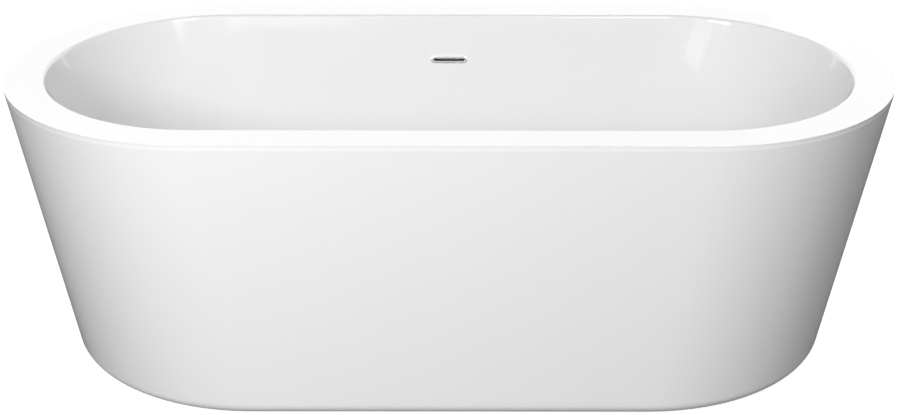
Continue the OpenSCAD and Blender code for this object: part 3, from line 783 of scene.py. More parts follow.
class PipeTree:
    """Sweeps a pipe's wall along a path that lies in the YZ plane of the bath.

    The seed mesh has one vertex for each ring, out along the pipe's outside and back along its
    inside. Its "radius" attribute is the ring's radius, and "across" points square to the path.
    """

    def __init__(self) -> None:
        """Builds the tree."""
        g = GeometryGraph("PipeSweep", {"Sides": Kind.COUNT})
        self.graph = g
        stations = g.given("Geometry")
        sides = g.given("Sides")
        sheet, row, column = g.lattice(g.count(stations), sides + 1.0)
        angle = column / sides * FULL_TURN
        centre = g.sampled(stations, row)
        across = g.sampled(stations, row, "across", "FLOAT_VECTOR")
        radius = g.sampled(stations, row, "radius")
        reach = {0: across, "Scale": radius * angle.sine()}
        out = g.node("ShaderNodeVectorMath", {"operation": "SCALE"}, reach)
        level = g.node("ShaderNodeCombineXYZ", None, {0: radius * angle.cosine()})
        arm = g.node("ShaderNodeVectorMath", {"operation": "ADD"}, {0: out, 1: level})
        g.close_lattice(sheet, g.node("ShaderNodeVectorMath", {"operation": "ADD"}, {0: centre, 1: arm}))

    def sweep(
        self,
        name: str,
        path: Sequence[Station],
        outer_r: float,
        inner_r: float,
        finish: Finish,
        sides: int = 48,
    ) -> bpy.types.Mesh:
        """Sweeps a pipe.

        Args:
            name: the mesh's name.
            path: y, z and heading of each point of the middle line, the heading measured up from +Y.
            outer_r: the pipe's outer radius.
            inner_r: the radius of its bore.
            finish: its finish.
            sides: the steps round it.

        Returns:
            The pipe, its bore open at both ends.
        """
        out = [(y, z, turn, outer_r) for y, z, turn in path]
        back = [(y, z, turn, inner_r) for y, z, turn in reversed(path)]
        rings = out + back + out[:1]
        seed = bpy.data.meshes.new(name + "_stations")
        seed.from_pydata([(0.0, y, z) for y, z, _, _ in rings], [], [])
        radii = seed.attributes.new("radius", "FLOAT", "POINT")
        radii.data.foreach_set("value", [radius for _, _, _, radius in rings])
        across = seed.attributes.new("across", "FLOAT_VECTOR", "POINT")
        square = [(0.0, -math.sin(turn), math.cos(turn)) for _, _, turn, _ in rings]
        across.data.foreach_set("vector", [part for way in square for part in way])
        mesh = self.graph.bake(name, seed, {"Sides": sides, "Material": finish.material()})
        face_outwards(mesh)
        return mesh


class ThreadTree:
    """A threaded rod, closed at both ends, whose radius follows the thread's ridge round and up it."""

    def __init__(self) -> None:
        """Builds the tree."""
        lengths = {label: Kind.LENGTH for label in ("Radius", "Length", "Pitch", "Depth")}
        g = GeometryGraph("ThreadedRod", {**lengths, "Sides": Kind.COUNT, "Rows": Kind.COUNT})
        self.graph = g
        sides = g.given("Sides")
        rows = g.given("Rows")
        radius = g.given("Radius")
        sheet, row, column = g.lattice(rows, sides + 1.0)
        turn = column / sides
        height = row / (rows - 1.0) * g.given("Length")
        ridge = ((height / g.given("Pitch") - turn) % 1.0 - 0.5).away() * 2.0
        between_ends = row.least(1.0) * (rows - 1.0 - row).least(1.0)
        closed_radius = (radius - ridge * g.given("Depth")) * between_ends
        angle = turn * FULL_TURN
        place = {0: closed_radius * angle.cosine(), 1: closed_radius * angle.sine(), 2: height}
        g.close_lattice(sheet, g.node("ShaderNodeCombineXYZ", None, place))


class ScrewTree:
    """Sets a hexagon-headed screw, with its washer face, on each point of the seed."""

    def __init__(self) -> None:
        """Builds the tree."""
        labels = ("Head Radius", "Head Height", "Shank Radius", "Shank Length")
        g = GeometryGraph("ScrewSet", {label: Kind.LENGTH for label in labels})
        self.graph = g
        head_h = g.given("Head Height")
        length = g.given("Shank Length")
        head_r = g.given("Head Radius")
        crown = self._rod(6, head_r * 0.88, head_h * 0.8, head_h * -1.0)
        core = self._rod(24, head_r * 0.72, head_h * 0.95, head_h * -1.0)
        face = self._rod(24, head_r, head_h * 0.2, head_h * -0.2)
        shank = self._rod(16, g.given("Shank Radius"), length, 0.0)
        whole = g.node("GeometryNodeJoinGeometry")
        for part in (crown, core, face, shank):
            g.tree.links.new(part.socket, whole.socket.node.inputs[0])
        g.close(g.at(g.given("Geometry"), whole))

    def _rod(self, sides: int, radius: Signal, height: Signal, bottom: Number) -> Signal:
        """An upright rod.

        Args:
            sides: its sides.
            radius: its radius.
            height: its height.
            bottom: the height of its lower end.

        Returns:
            The rod's mesh.
        """
        size = {"Vertices": sides, "Radius": radius, "Depth": height}
        rod = self.graph.node("GeometryNodeMeshCylinder", None, size)
        return self.graph.raised(rod, height * 0.5 + bottom)


class RibTree:
    """Sets upright ribs evenly round a nut."""

    RIB_SIDES = 12

    def __init__(self) -> None:
        """Builds the tree."""
        lengths = {label: Kind.LENGTH for label in ("Radius", "Height", "Rib Radius")}
        g = GeometryGraph("NutRibs", {**lengths, "Ribs": Kind.COUNT})
        self.graph = g
        height = g.given("Height")
        round_nut = {"Vertices": g.given("Ribs"), "Radius": g.given("Radius")}
        ring = g.node("GeometryNodeMeshCircle", None, round_nut)
        size = {"Vertices": self.RIB_SIDES, "Radius": g.given("Rib Radius"), "Depth": height}
        rib = g.node("GeometryNodeMeshCylinder", None, size)
        g.close(g.at(ring, g.smooth(g.raised(rib, height * 0.5))))


# ---- Mesh helpers ----


def shade_smooth(mesh: bpy.types.Mesh, crease: float = CREASE_ANGLE) -> None:
    """Shades a mesh smooth and marks its sharp edges.

    Args:
        mesh: the mesh.
        crease: the angle from which an edge is sharp.
    """
    for polygon in mesh.polygons:
        polygon.use_smooth = True
    mesh.set_sharp_from_angle(angle=crease)


def face_outwards(mesh: bpy.types.Mesh, crease: float = CREASE_ANGLE) -> None:
    """Merges doubles, turns the faces outwards and marks the sharp edges.

    Args:
        mesh: a closed mesh.
        crease: the angle from which an edge is sharp.
    """
    work = bmesh.new()
    work.from_mesh(mesh)
    bmesh.ops.remove_doubles(work, verts=work.verts, dist=MERGE_DISTANCE)
    bmesh.ops.recalc_face_normals(work, faces=work.faces)
    if work.calc_volume(signed=True) < 0.0:
        bmesh.ops.reverse_faces(work, faces=work.faces)
    work.to_mesh(mesh)
    work.free()
    shade_smooth(mesh, crease)
    mesh.update()


def lifted(height: float) -> Matrix:
    """A move straight up."""
    return Matrix.Translation((0.0, 0.0, height))


def turned(
    name: str, outline: Outline, finish: Finish, place: Matrix = Matrix.Identity(4), steps: int = 96
) -> bpy.types.Mesh:
    """Turns an outline about its own Z axis, as a lathe does.

    Args:
        name: the mesh's name.
        outline: radius and height of each corner, a closed loop or a line between points on the axis.
        finish: the piece's finish.
        place: where it goes.
        steps: the steps round it.

    Returns:
        The turned mesh.
    """
    work = bmesh.new()
    loop = [work.verts.new((r, 0.0, z)) for r, z in outline]
    edges = [work.edges.new((loop[i], loop[(i + 1) % len(loop)])) for i in range(len(loop))]
    bmesh.ops.spin(
        work, geom=loop + edges, cent=(0.0, 0.0, 0.0), axis=(0.0, 0.0, 1.0), angle=FULL_TURN, steps=steps,
        use_duplicate=False,
    )
    bmesh.ops.remove_doubles(work, verts=work.verts, dist=MERGE_DISTANCE)
    on_the_axis = [face for face in work.faces if face.calc_area() < LEAST_AREA]
    bmesh.ops.delete(work, geom=on_the_axis, context="FACES")
    mesh = bpy.data.meshes.new(name)
    work.to_mesh(mesh)
    work.free()
    mesh.materials.append(finish.material())
    mesh.transform(place)
    face_outwards(mesh)
    return mesh


def rounded(corners: Sequence[Corner], steps: int = 5) -> Outline:
    """A closed outline with its corners rounded.

    Args:
        corners: x, y and radius of each corner.
        steps: the steps round each corner.

    Returns:
        The outline's points.
    """
    points: Outline = []
    count = len(corners)
    for i, (x, y, radius) in enumerate(corners):
        here = Vector((x, y))
        if radius <= 0.0:
            points.append((x, y))
            continue
        back = (Vector(corners[i - 1][:2]) - here).normalized()
        ahead = (Vector(corners[(i + 1) % count][:2]) - here).normalized()
        half = back.angle(ahead) / 2.0
        reach = radius / math.tan(half)
        centre = here + (back + ahead).normalized() * (radius / math.sin(half))
        start = here + back * reach - centre
        sweep = here + ahead * reach - centre
        turn = start.angle_signed(sweep)
        for k in range(steps + 1):
            arm = start.copy()
            arm.rotate(Matrix.Rotation(-turn * k / steps, 2))
            points.append(((centre + arm).x, (centre + arm).y))
    return points


# ---- Sizes ----


@dataclass(frozen=True)
class Ring:
    """One obround ring of a shell."""

    half_length: float
    half_width: float
    height: float
    middle: float = 0.0

    def inset(self, by: float) -> "Ring":
        """The ring made smaller all round.

        Args:
            by: how much, or below 0 to make it larger.

        Returns:
            The new ring.
        """
        return Ring(self.half_length - by, self.half_width - by, self.height, self.middle)

    def at(self, height: float) -> "Ring":
        """The same ring at another height."""
        return Ring(self.half_length, self.half_width, height, self.middle)

    def toward(self, other: "Ring", share: float) -> "Ring":
        """A ring part of the way to another.

        Args:
            other: the other ring.
            share: how far, from 0 to 1.

        Returns:
            The ring between.
        """
        return Ring(
            self.half_length + (other.half_length - self.half_length) * share,
            self.half_width + (other.half_width - self.half_width) * share,
            self.height + (other.height - self.height) * share,
            self.middle + (other.middle - self.middle) * share,
        )


@dataclass(frozen=True)
class Bath:
    """The bath's sizes, in metres, and the curves that follow from them."""

    length: float = 1.700
    width: float = 0.798
    rim_z: float = 0.548
    base_length: float = 1.506
    base_width: float = 0.778
    skirt_wall: float = 0.005
    base_edge_r: float = 0.025
    base_flange: float = 0.036
    floor_gap: float = 0.002
    opening_length: float = 1.550
    opening_width: float = 0.647
    foot_length: float = 1.200
    foot_width: float = 0.500
    floor_z: float = 0.130
    floor_fall: float = 0.006
    floor_fillet_r: float = 0.090
    rim_edge_r: float = 0.008
    opening_edge_r: float = 0.008
    rim_lip: float = 0.022
    wall: float = 0.005
    joint_gap: float = 0.001
    joint_recess: float = 0.0001
    waste_y: float = 0.110
    overflow_z: float = 0.455

    @property
    def floor_edge_z(self) -> float:
        """Height of the basin's floor at its edge."""
        return self.floor_z + self.floor_fall

    @property
    def lip_z(self) -> float:
        """Height of the underside of the rim's lip."""
        return self.rim_z - self.rim_lip

    @property
    def skirt_leans(self) -> tuple[float, float]:
        """Leans of the skirt's ends and sides from the vertical."""
        rise = self.rim_z - self.floor_gap
        end = math.atan((self.length - self.base_length) / 2.0 / rise)
        side = math.atan((self.width - self.base_width) / 2.0 / rise)
        return end, side

    @property
    def basin_leans(self) -> tuple[float, float]:
        """Leans of the basin's ends and sides from the vertical."""
        rise = self.rim_z - self.floor_edge_z
        end = math.atan((self.opening_length - self.foot_length) / 2.0 / rise)
        side = math.atan((self.opening_width - self.foot_width) / 2.0 / rise)
        return end, side

    @staticmethod
    def wall_half(h: float, foot: float, lean: float, r: float) -> float:
        """Half width of a wall that rises from a filleted foot.

        Args:
            h: height above the foot.
            foot: half width where the wall's line meets the foot.
            lean: the wall's lean.
            r: the fillet's radius.

        Returns:
            The half width.
        """
        if h < r * (1.0 - math.sin(lean)):
            centre = foot - r * math.tan(math.pi / 4.0 - lean / 2.0)
            return centre + math.sqrt(max(0.0, r * r - (r - h) ** 2))
        return foot + h * math.tan(lean)

    @staticmethod
    def edge_half(d: float, top: float, lean: float, r: float) -> float:
        """Half width of a rounded outer rim.

        Args:
            d: depth below the flat.
            top: half width where the wall's line meets the flat.
            lean: the wall's lean.
            r: the edge's radius.

        Returns:
            The half width.
        """
        if d < r * (1.0 + math.sin(lean)):
            centre = top - r * math.tan(math.pi / 4.0 + lean / 2.0)
            return centre + math.sqrt(max(0.0, r * r - (r - d) ** 2))
        return top - d * math.tan(lean)

    def basin_half(self, z: float, top: float, foot: float, lean: float, off: float) -> float:
        """Half width of the basin's wall.

        Args:
            z: the height.
            top: half width where the wall's line meets the rim.
            foot: half width where it meets the floor.
            lean: the wall's lean.
            off: distance through the shell's thickness.

        Returns:
            The half width.
        """
        shift = off * (1.0 / math.cos(lean) - math.tan(lean))
        edge_r = self.opening_edge_r - off
        d = self.rim_z - off - z
        drop = off + self.floor_fall if off > 0.0 else 0.0
        if d < edge_r * (1.0 - math.sin(lean)):
            near = math.sqrt(max(0.0, edge_r * edge_r - (edge_r - d) ** 2))
            return top + shift + edge_r * math.tan(math.pi / 4.0 - lean / 2.0) - near
        start = foot + off / math.cos(lean) - drop * math.tan(lean)
        return self.wall_half(z - self.floor_edge_z + drop, start, lean, self.floor_fillet_r + off)

    def basin_ring(self, z: float, off: float) -> Ring:
        """The basin's ring at a height, moved by off through the shell's thickness."""
        end, side = self.basin_leans
        return Ring(
            self.basin_half(z, self.opening_length / 2.0, self.foot_length / 2.0, end, off),
            self.basin_half(z, self.opening_width / 2.0, self.foot_width / 2.0, side, off),
            z,
        )

    def face_ring(self, inset: float, depth: float) -> Ring:
        """A ring in from the skirt's face, at a depth below the rim's flat."""
        halves = [
            size / 2.0 - depth * math.tan(lean) - inset
            for size, lean in zip((self.length, self.width), self.skirt_leans)
        ]
        return Ring(halves[0], halves[1], self.rim_z - depth)

    def rim_ring(self, z: float, off: float) -> Ring:
        """The rim's outer ring at a height, moved in by off."""
        halves = [
            self.edge_half(
                self.rim_z - off - z,
                size / 2.0 - off * (1.0 / math.cos(lean) + math.tan(lean)),
                lean,
                self.rim_edge_r - off,
            )
            for size, lean in zip((self.length, self.width), self.skirt_leans)
        ]
        return Ring(halves[0], halves[1], z)

    def skirt_ring(self, z: float, off: float) -> Ring:
        """The skirt's ring at a height, moved in by off."""
        halves = [
            self.wall_half(
                z - self.floor_gap - off,
                size / 2.0 - off * (1.0 / math.cos(lean) - math.tan(lean)),
                lean,
                self.base_edge_r - off,
            )
            for size, lean in zip((self.base_length, self.base_width), self.skirt_leans)
        ]
        return Ring(halves[0], halves[1], z)

    def on_back_wall(self) -> Matrix:
        """The frame of the overflow: +Z out of the back wall into the basin, +Y up the wall."""
        lean = self.basin_leans[1]
        y = self.basin_half(self.overflow_z, self.opening_width / 2.0, self.foot_width / 2.0, lean, 0.0)
        turn = Matrix.Rotation(QUARTER_TURN - lean, 4, "X")
        return Matrix.Translation((0.0, y, self.overflow_z)) @ turn


def depths(r: float, steps: int, turn: float) -> list[float]:
    """Depths below a flat whose edge is rounded.

    Args:
        r: the edge's radius.
        steps: the steps round it.
        turn: the angle that it turns through.

    Returns:
        The depths, from 0 down.
    """
    return [r * (1.0 - math.cos(turn * i / steps)) for i in range(steps + 1)]


# ---- The workshop: places pieces and dresses nodes ----


class Workshop:
    """Adds finished pieces to the scene and dresses the frame's own nodes."""

    EASE_ANGLE = math.radians(35.0)
    FLAT_ANGLE = math.radians(1.0)
    WELD_DISTANCE = 0.000005

    def __init__(self, frame: dict[str, Any]) -> None:
        """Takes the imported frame.
        """
        self.frame = frame
        bodies = frame["record"]["behaviour"]["bodies"]
        self.body_of = {node: body for body, nodes in bodies.items() for node in nodes}
        self.bath = Bath()
        self.shells = ShellTree()
        self.pipes = PipeTree()
        self.coils = CoilTree()
        self.threads = ThreadTree()
        self.screws = ScrewTree()
        self.ribs = RibTree()

    def box(self, node: str) -> tuple[Vector, Vector]:
        """The lowest and highest corners of one of the frame's nodes."""
        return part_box(node)

    def add(
        self, name: str, mesh: bpy.types.Mesh, finish: Finish, node: str, body: str = "bath"
    ) -> bpy.types.Object:
        """Adds a piece.

        Args:
            name: the piece's name.
            mesh: its mesh, already in place.
            finish: its finish; not used.
            node: the node that it replaces.
            body: the body that it moves with.

        Returns:
            The piece's object.
        """
        piece = bpy.data.objects.new(name, mesh)
        bpy.context.collection.objects.link(piece)
        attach(piece, body)
        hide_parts(node)
        LOG.info("%s: %d faces, on %s", name, len(mesh.polygons), body)
        return piece

    def ease(self, node: str, finish: Finish, edge: float) -> None:
        """Stands a copy with eased edges in place of one of the frame's nodes.

        Args:
            node: the node's name.
            finish: the copy's finish.
            edge: the radius of its edges.
        """
        work = bmesh.new()
        work.from_mesh(self.frame["nodes"][node].data)
        bmesh.ops.remove_doubles(work, verts=work.verts, dist=self.WELD_DISTANCE)
        bmesh.ops.dissolve_limit(work, angle_limit=self.FLAT_ANGLE, verts=work.verts, edges=work.edges)
        mesh = bpy.data.meshes.new(node + "_eased")
        work.to_mesh(mesh)
        work.free()
        mesh.materials.append(finish.material())
        shade_smooth(mesh, self.EASE_ANGLE)
        piece = self.add(node + "_eased", mesh, finish, node, self.body_of[node])
        bevel = piece.modifiers.new("Edges", "BEVEL")
        bevel.width = edge
        bevel.segments = 2
        bevel.limit_method = "ANGLE"
        bevel.angle_limit = self.EASE_ANGLE
        bevel.use_clamp_overlap = True
        bevel.harden_normals = True


def merged(name: str, meshes: Sequence[bpy.types.Mesh]) -> bpy.types.Mesh:
    """Puts several meshes into one, with the first one's finish.

    Args:
        name: the new mesh's name.
        meshes: the meshes.

    Returns:
        The new mesh.
    """
    work = bmesh.new()
    for mesh in meshes:
        work.from_mesh(mesh)
    whole = bpy.data.meshes.new(name)
    work.to_mesh(whole)
    work.free()
    if meshes[0].materials:
        whole.materials.append(meshes[0].materials[0])
    for polygon in whole.polygons:
        polygon.material_index = 0
    return whole


class Cut(Enum):
    """What a cut leaves: what is outside the tool, or what is inside it."""

    AWAY = "DIFFERENCE"
    TO_TOOL = "INTERSECT"


def cut_by(mesh: bpy.types.Mesh, tool: bpy.types.Mesh, cut: Cut) -> bpy.types.Mesh:
    """Cuts a mesh with another.

    Args:
        mesh: what is cut.
        tool: the cutting shape.
        cut: what the cut leaves.

    Returns:
        The cut mesh.
    """
    blank = bpy.data.objects.new("blank", mesh)
    cutter = bpy.data.objects.new("cutter", tool)
    bpy.context.collection.objects.link(blank)
    bpy.context.collection.objects.link(cutter)
    modifier = blank.modifiers.new("Cut", "BOOLEAN")
    modifier.operation = cut.value
    modifier.solver = "EXACT"
    modifier.object = cutter
    bpy.context.view_layer.update()
    graph = bpy.context.evaluated_depsgraph_get()
    result = bpy.data.meshes.new_from_object(blank.evaluated_get(graph), depsgraph=graph)
    bpy.data.objects.remove(blank)
    bpy.data.objects.remove(cutter)
    shade_smooth(result)
    return result


# ---- Shells ----


@dataclass
class Shells:
    """The basin, the skirt and the filler between them."""

    shop: Workshop
    edge_steps: int = 14
    fillet_steps: int = 20
    back_edge_steps: int = 4
    back_foot_steps: int = 6
    back_fillet_steps: int = 12
    support: float = 0.004
    flat_end: float = 0.0030
    sheet_inset: float = 0.0010
    sheet_edge: float = 0.0042
    shoulder_foot: float = 0.0100
    face_start: float = 0.0150
    seam_round: float = 0.0003
    waste_hole_r: float = 0.0245
    waste_flat_r: float = 0.042
    filler_reach: float = 0.006
    filler_depth: float = 0.007
    overflow_hole: tuple[float, float] = (0.070, 0.009)
    overflow_cut: tuple[float, float] = (-0.03, 0.02)

    @property
    def seam_profile(self) -> Outline:
        """Insets and depths down the rim's edge: the sheet's own edge and the sloping shoulder under it."""
        corners = [
            (self.flat_end, 0.0),
            (self.sheet_inset, 0.0),
            (self.sheet_inset, self.sheet_edge),
            (0.0, self.shoulder_foot),
            (0.0, self.face_start),
        ]
        # Two rings on each side of a corner keep its shading close to it.
        profile = [corners[0]]
        for before, corner, after in zip(corners, corners[1:], corners[2:]):
            for other, steps in ((before, (2.0, 1.0)), (after, (1.0, 2.0))):
                for step in steps:
                    share = self.seam_round * step / math.dist(corner, other)
                    profile.append(tuple(c + (o - c) * share for c, o in zip(corner, other)))
        return profile + [corners[-1]]

    def waste_ring(self, radius: float) -> Ring:
        """A round ring about the waste, on the basin's floor."""
        return Ring(radius, radius, self.shop.bath.floor_z, self.shop.bath.waste_y)

    def inside_rings(self) -> list[Ring]:
        """Rings of the basin's inside, from the waste up to the rim's flat."""
        bath = self.shop.bath
        turn = QUARTER_TURN - bath.basin_leans[1]
        flat = self.waste_ring(self.waste_flat_r)
        edge = bath.basin_ring(bath.floor_edge_z, 0.0)
        rings = [flat]
        rings += [flat.toward(edge, share) for share in (0.03, 0.25, 0.5, 0.75, 0.97)]
        fillet = depths(bath.floor_fillet_r, self.fillet_steps, turn)
        rings += [bath.basin_ring(bath.floor_edge_z + d, 0.0) for d in fillet]
        opening = depths(bath.opening_edge_r, self.edge_steps, turn)
        foot = bath.floor_edge_z + fillet[-1]
        span = bath.rim_z - opening[-1] - foot
        for share in (self.support / span, 0.25, 0.5, 0.75, 1.0 - self.support / span):
            rings.append(bath.basin_ring(foot + span * share, 0.0))
        return rings + [bath.basin_ring(bath.rim_z - d, 0.0) for d in reversed(opening)]

    def rim_rings(self) -> list[Ring]:
        """Rings of the rim's flat, its edge and the end of its lip."""
        bath = self.shop.bath
        inner = bath.basin_ring(bath.rim_z, 0.0)
        seam = [bath.face_ring(inset, depth) for inset, depth in self.seam_profile]
        flat = [inner.toward(seam[0], share) for share in (0.05, 0.5, 0.97)]
        lip = [bath.rim_ring(bath.lip_z, off) for off in (0.0, bath.wall)]
        return flat + seam + lip

    def back_rings(self) -> list[Ring]:
        """Rings of the basin's back, from the lip down to the floor."""
        bath = self.shop.bath
        turn = QUARTER_TURN - bath.basin_leans[1]
        rim_turn = QUARTER_TURN + bath.skirt_leans[0]
        under_rim = bath.rim_z - bath.wall
        under_floor = bath.floor_z - bath.wall
        edge = depths(bath.rim_edge_r - bath.wall, self.back_edge_steps, rim_turn)
        opening = depths(bath.opening_edge_r - bath.wall, self.back_edge_steps, turn)
        fillet = depths(bath.floor_fillet_r + bath.wall, self.back_fillet_steps, turn)
        rings = [bath.rim_ring(under_rim - d, bath.wall) for d in reversed(edge)]
        rings += [bath.basin_ring(under_rim - d, bath.wall) for d in opening]
        return rings + [bath.basin_ring(under_floor + d, bath.wall) for d in reversed(fillet)]

    def basin_rings(self) -> list[Ring]:
        """Rings of the basin, from the waste up over the rim and back to the waste under it."""
        hole = self.waste_ring(self.waste_hole_r)
        under = hole.at(hole.height - self.shop.bath.wall)
        return [hole, *self.inside_rings(), *self.rim_rings(), *self.back_rings(), under, hole]

    def skirt_rings(self) -> list[Ring]:
        """Rings of the skirt, up its outside and down its inside."""
        bath = self.shop.bath
        turn = QUARTER_TURN - bath.skirt_leans[1]
        top = bath.lip_z - bath.joint_gap
        flange = Ring(bath.base_length / 2.0, bath.base_width / 2.0, bath.floor_gap).inset(bath.base_flange)
        flange_top = bath.floor_gap + bath.skirt_wall
        edge = depths(bath.base_edge_r, self.edge_steps, turn)
        start = bath.skirt_ring(bath.floor_gap, 0.0)
        rings = [flange, flange.toward(start, 0.9)]
        rings += [bath.skirt_ring(bath.floor_gap + d, 0.0) for d in edge]
        foot = bath.floor_gap + edge[-1]
        for share in (self.support / (top - foot), 0.2, 0.4, 0.6, 0.8, 1.0):
            rings.append(bath.skirt_ring(foot + (top - foot) * share, 0.0))
        rings.append(bath.skirt_ring(top, bath.skirt_wall))
        inner = depths(bath.base_edge_r - bath.skirt_wall, self.back_foot_steps, turn)
        rings += [bath.skirt_ring(flange_top + d, bath.skirt_wall) for d in reversed(inner)]
        return rings + [flange.at(flange_top), flange]

    def filler_rings(self) -> list[Ring]:
        """Rings of the filler: the joint's face and the backing behind it."""
        bath = self.shop.bath
        skirt_top = bath.lip_z - bath.joint_gap
        top = bath.rim_ring(bath.lip_z + self.filler_reach, bath.wall)
        under = bath.skirt_ring(skirt_top - self.filler_reach, bath.skirt_wall)
        rings = [
            bath.rim_ring(bath.lip_z, 0.0).inset(bath.joint_recess),
            bath.rim_ring(bath.lip_z, bath.wall),
            top,
            top.inset(self.filler_depth),
            under.inset(self.filler_depth),
            under,
            bath.skirt_ring(skirt_top, bath.skirt_wall),
            bath.skirt_ring(skirt_top, 0.0).inset(bath.joint_recess),
        ]
        return rings + rings[:1]

    @staticmethod
    def back_with(mesh: bpy.types.Mesh, inside: "InsideTest") -> None:
        """Gives the hidden faces of a shell the glass-fibre finish.

        Args:
            mesh: the shell.
            inside: says which faces are hidden.
        """
        mesh.materials.append(GLASS_FIBRE.material())
        for polygon in mesh.polygons:
            if inside.hidden(polygon):
                polygon.material_index = 1

    def build(self) -> None:
        """Makes the three shells."""
        shop = self.shop
        basin = shop.shells.loft("basin_shell_smooth", self.basin_rings(), ACRYLIC)
        tool = obround_bar(shop, "overflow_hole", self.overflow_hole, self.overflow_cut, CHROME)
        basin = cut_by(basin, tool, Cut.AWAY)
        self.back_with(basin, BasinBack(shop.bath))
        shop.add("basin_shell_smooth", basin, ACRYLIC, "basin_shell")
        skirt = shop.shells.loft("outer_skirt_smooth", self.skirt_rings(), ACRYLIC)
        self.back_with(skirt, SkirtBack(shop.bath))
        shop.add("outer_skirt_smooth", skirt, ACRYLIC, "outer_skirt")
        filler = shop.shells.loft("rim_joint_filler_smooth", self.filler_rings(), FILLER)
        shop.add("rim_joint_filler_smooth", filler, FILLER, "rim_joint_filler")


@dataclass(frozen=True)
class InsideTest:
    """Says which faces of a shell are its hidden back."""

    bath: Bath

    def hidden(self, polygon: bpy.types.MeshPolygon) -> bool:
        """Whether a face is on the hidden back of the shell.

        Args:
            polygon: the face.

        Returns:
            True if it is hidden.
        """
        raise NotImplementedError


@dataclass(frozen=True)
class BasinBack(InsideTest):
    """The basin's back: every face that looks away from the water and isn't the rim's edge."""

    most_upward: float = 0.5

    def hidden(self, polygon: bpy.types.MeshPolygon) -> bool:
        """Whether a face is on the basin's back.

        Args:
            polygon: the face.

        Returns:
            True if it is hidden.
        """
        bath = self.bath
        x, y, z = polygon.center
        half_wall = bath.wall / 2.0
        if z < bath.floor_z - half_wall:
            return True
        if z > bath.rim_z - half_wall:
            return False
        beyond_wall = outside_ring(x, y, bath.basin_ring(max(z, bath.floor_edge_z), half_wall))
        within_lip = not outside_ring(x, y, bath.rim_ring(min(z, bath.rim_z - bath.wall), half_wall))
        return beyond_wall and within_lip and polygon.normal.z < self.most_upward


@dataclass(frozen=True)
class SkirtBack(InsideTest):
    """The skirt's back: its inner wall and the top of its flange."""

    def hidden(self, polygon: bpy.types.MeshPolygon) -> bool:
        """Whether a face is on the skirt's back.

        Args:
            polygon: the face.

        Returns:
            True if it is hidden.
        """
        bath = self.bath
        x, y, z = polygon.center
        half_wall = bath.skirt_wall / 2.0
        if z < bath.floor_gap + half_wall:
            return False
        ring = bath.skirt_ring(max(z, bath.floor_gap + bath.skirt_wall), half_wall)
        return not outside_ring(x, y, ring)


def outside_ring(x: float, y: float, ring: Ring) -> bool:
    """Whether a place lies outside an obround ring.

    Args:
        x: its place along the bath.
        y: its place across the bath.
        ring: the ring.

    Returns:
        True if it lies outside.
    """
    past_straight = max(0.0, abs(x) - (ring.half_length - ring.half_width))
    return math.hypot(past_straight, y - ring.middle) > ring.half_width


def obround_bar(
    shop: Workshop, name: str, size: tuple[float, float], span: tuple[float, float], finish: Finish
) -> bpy.types.Mesh:
    """A solid bar with two round edges, square to the basin's back wall.

    Args:
        shop: the workshop.
        name: the mesh's name.
        size: its length along the bath and its height up the wall.
        span: where it starts and ends, measured out of the wall.
        finish: its finish.

    Returns:
        The bar's mesh.
    """
    tip = MERGE_DISTANCE / 4.0
    half_length, half_height = size[0] / 2.0, size[1] / 2.0
    low, high = span
    rings = [
        Ring(half_length - half_height + tip, tip, low),
        Ring(half_length, half_height, low),
        Ring(half_length, half_height, high),
        Ring(half_length - half_height + tip, tip, high),
    ]
    mesh = shop.shells.loft(name, rings, finish, end_steps=16, side_steps=4)
    mesh.transform(shop.bath.on_back_wall())
    return mesh


# ---- Eased copies, nuts and slip joints ----


def hexagon_nut(radius: float, height: float, bore: float) -> bpy.types.Mesh:
    """A zinc-plated hexagon nut or collar on z = 0, its corners turned off at both ends.

    Args:
        radius: from the middle to a corner.
        height: its height.
        bore: the radius of its bore.

    Returns:
        The mesh.
    """
    chamfer = radius * 0.12
    drop = chamfer * 0.55
    lead = chamfer * 0.5
    outline = [
        (bore, lead), (bore + lead, 0.0), (radius - chamfer, 0.0), (radius, drop),
        (radius, height - drop), (radius - chamfer, height), (bore + lead, height), (bore, height - lead),
    ]
    blank = turned("nut_blank", outline, ZINC, steps=48)
    work = bmesh.new()
    bmesh.ops.create_cone(
        work, cap_ends=True, segments=6, radius1=radius, radius2=radius, depth=height * 2.0,
        matrix=lifted(height / 2.0),
    )
    prism = bpy.data.meshes.new("nut_prism")
    work.to_mesh(prism)
    work.free()
    return cut_by(blank, prism, Cut.TO_TOOL)


class JointFrame(Enum):
    """The ways that a slip joint's +Z points, out of its spigot along the pipe."""

    DOWN = "down"
    REAR = "rear"

    def matrix(self, place: Point) -> Matrix:
        """The joint's frame.

        Args:
            place: the middle of the spigot's end.

        Returns:
            The frame.
        """
        angle = math.pi if self is JointFrame.DOWN else -QUARTER_TURN
        return Matrix.Translation(place) @ Matrix.Rotation(angle, 4, "X")


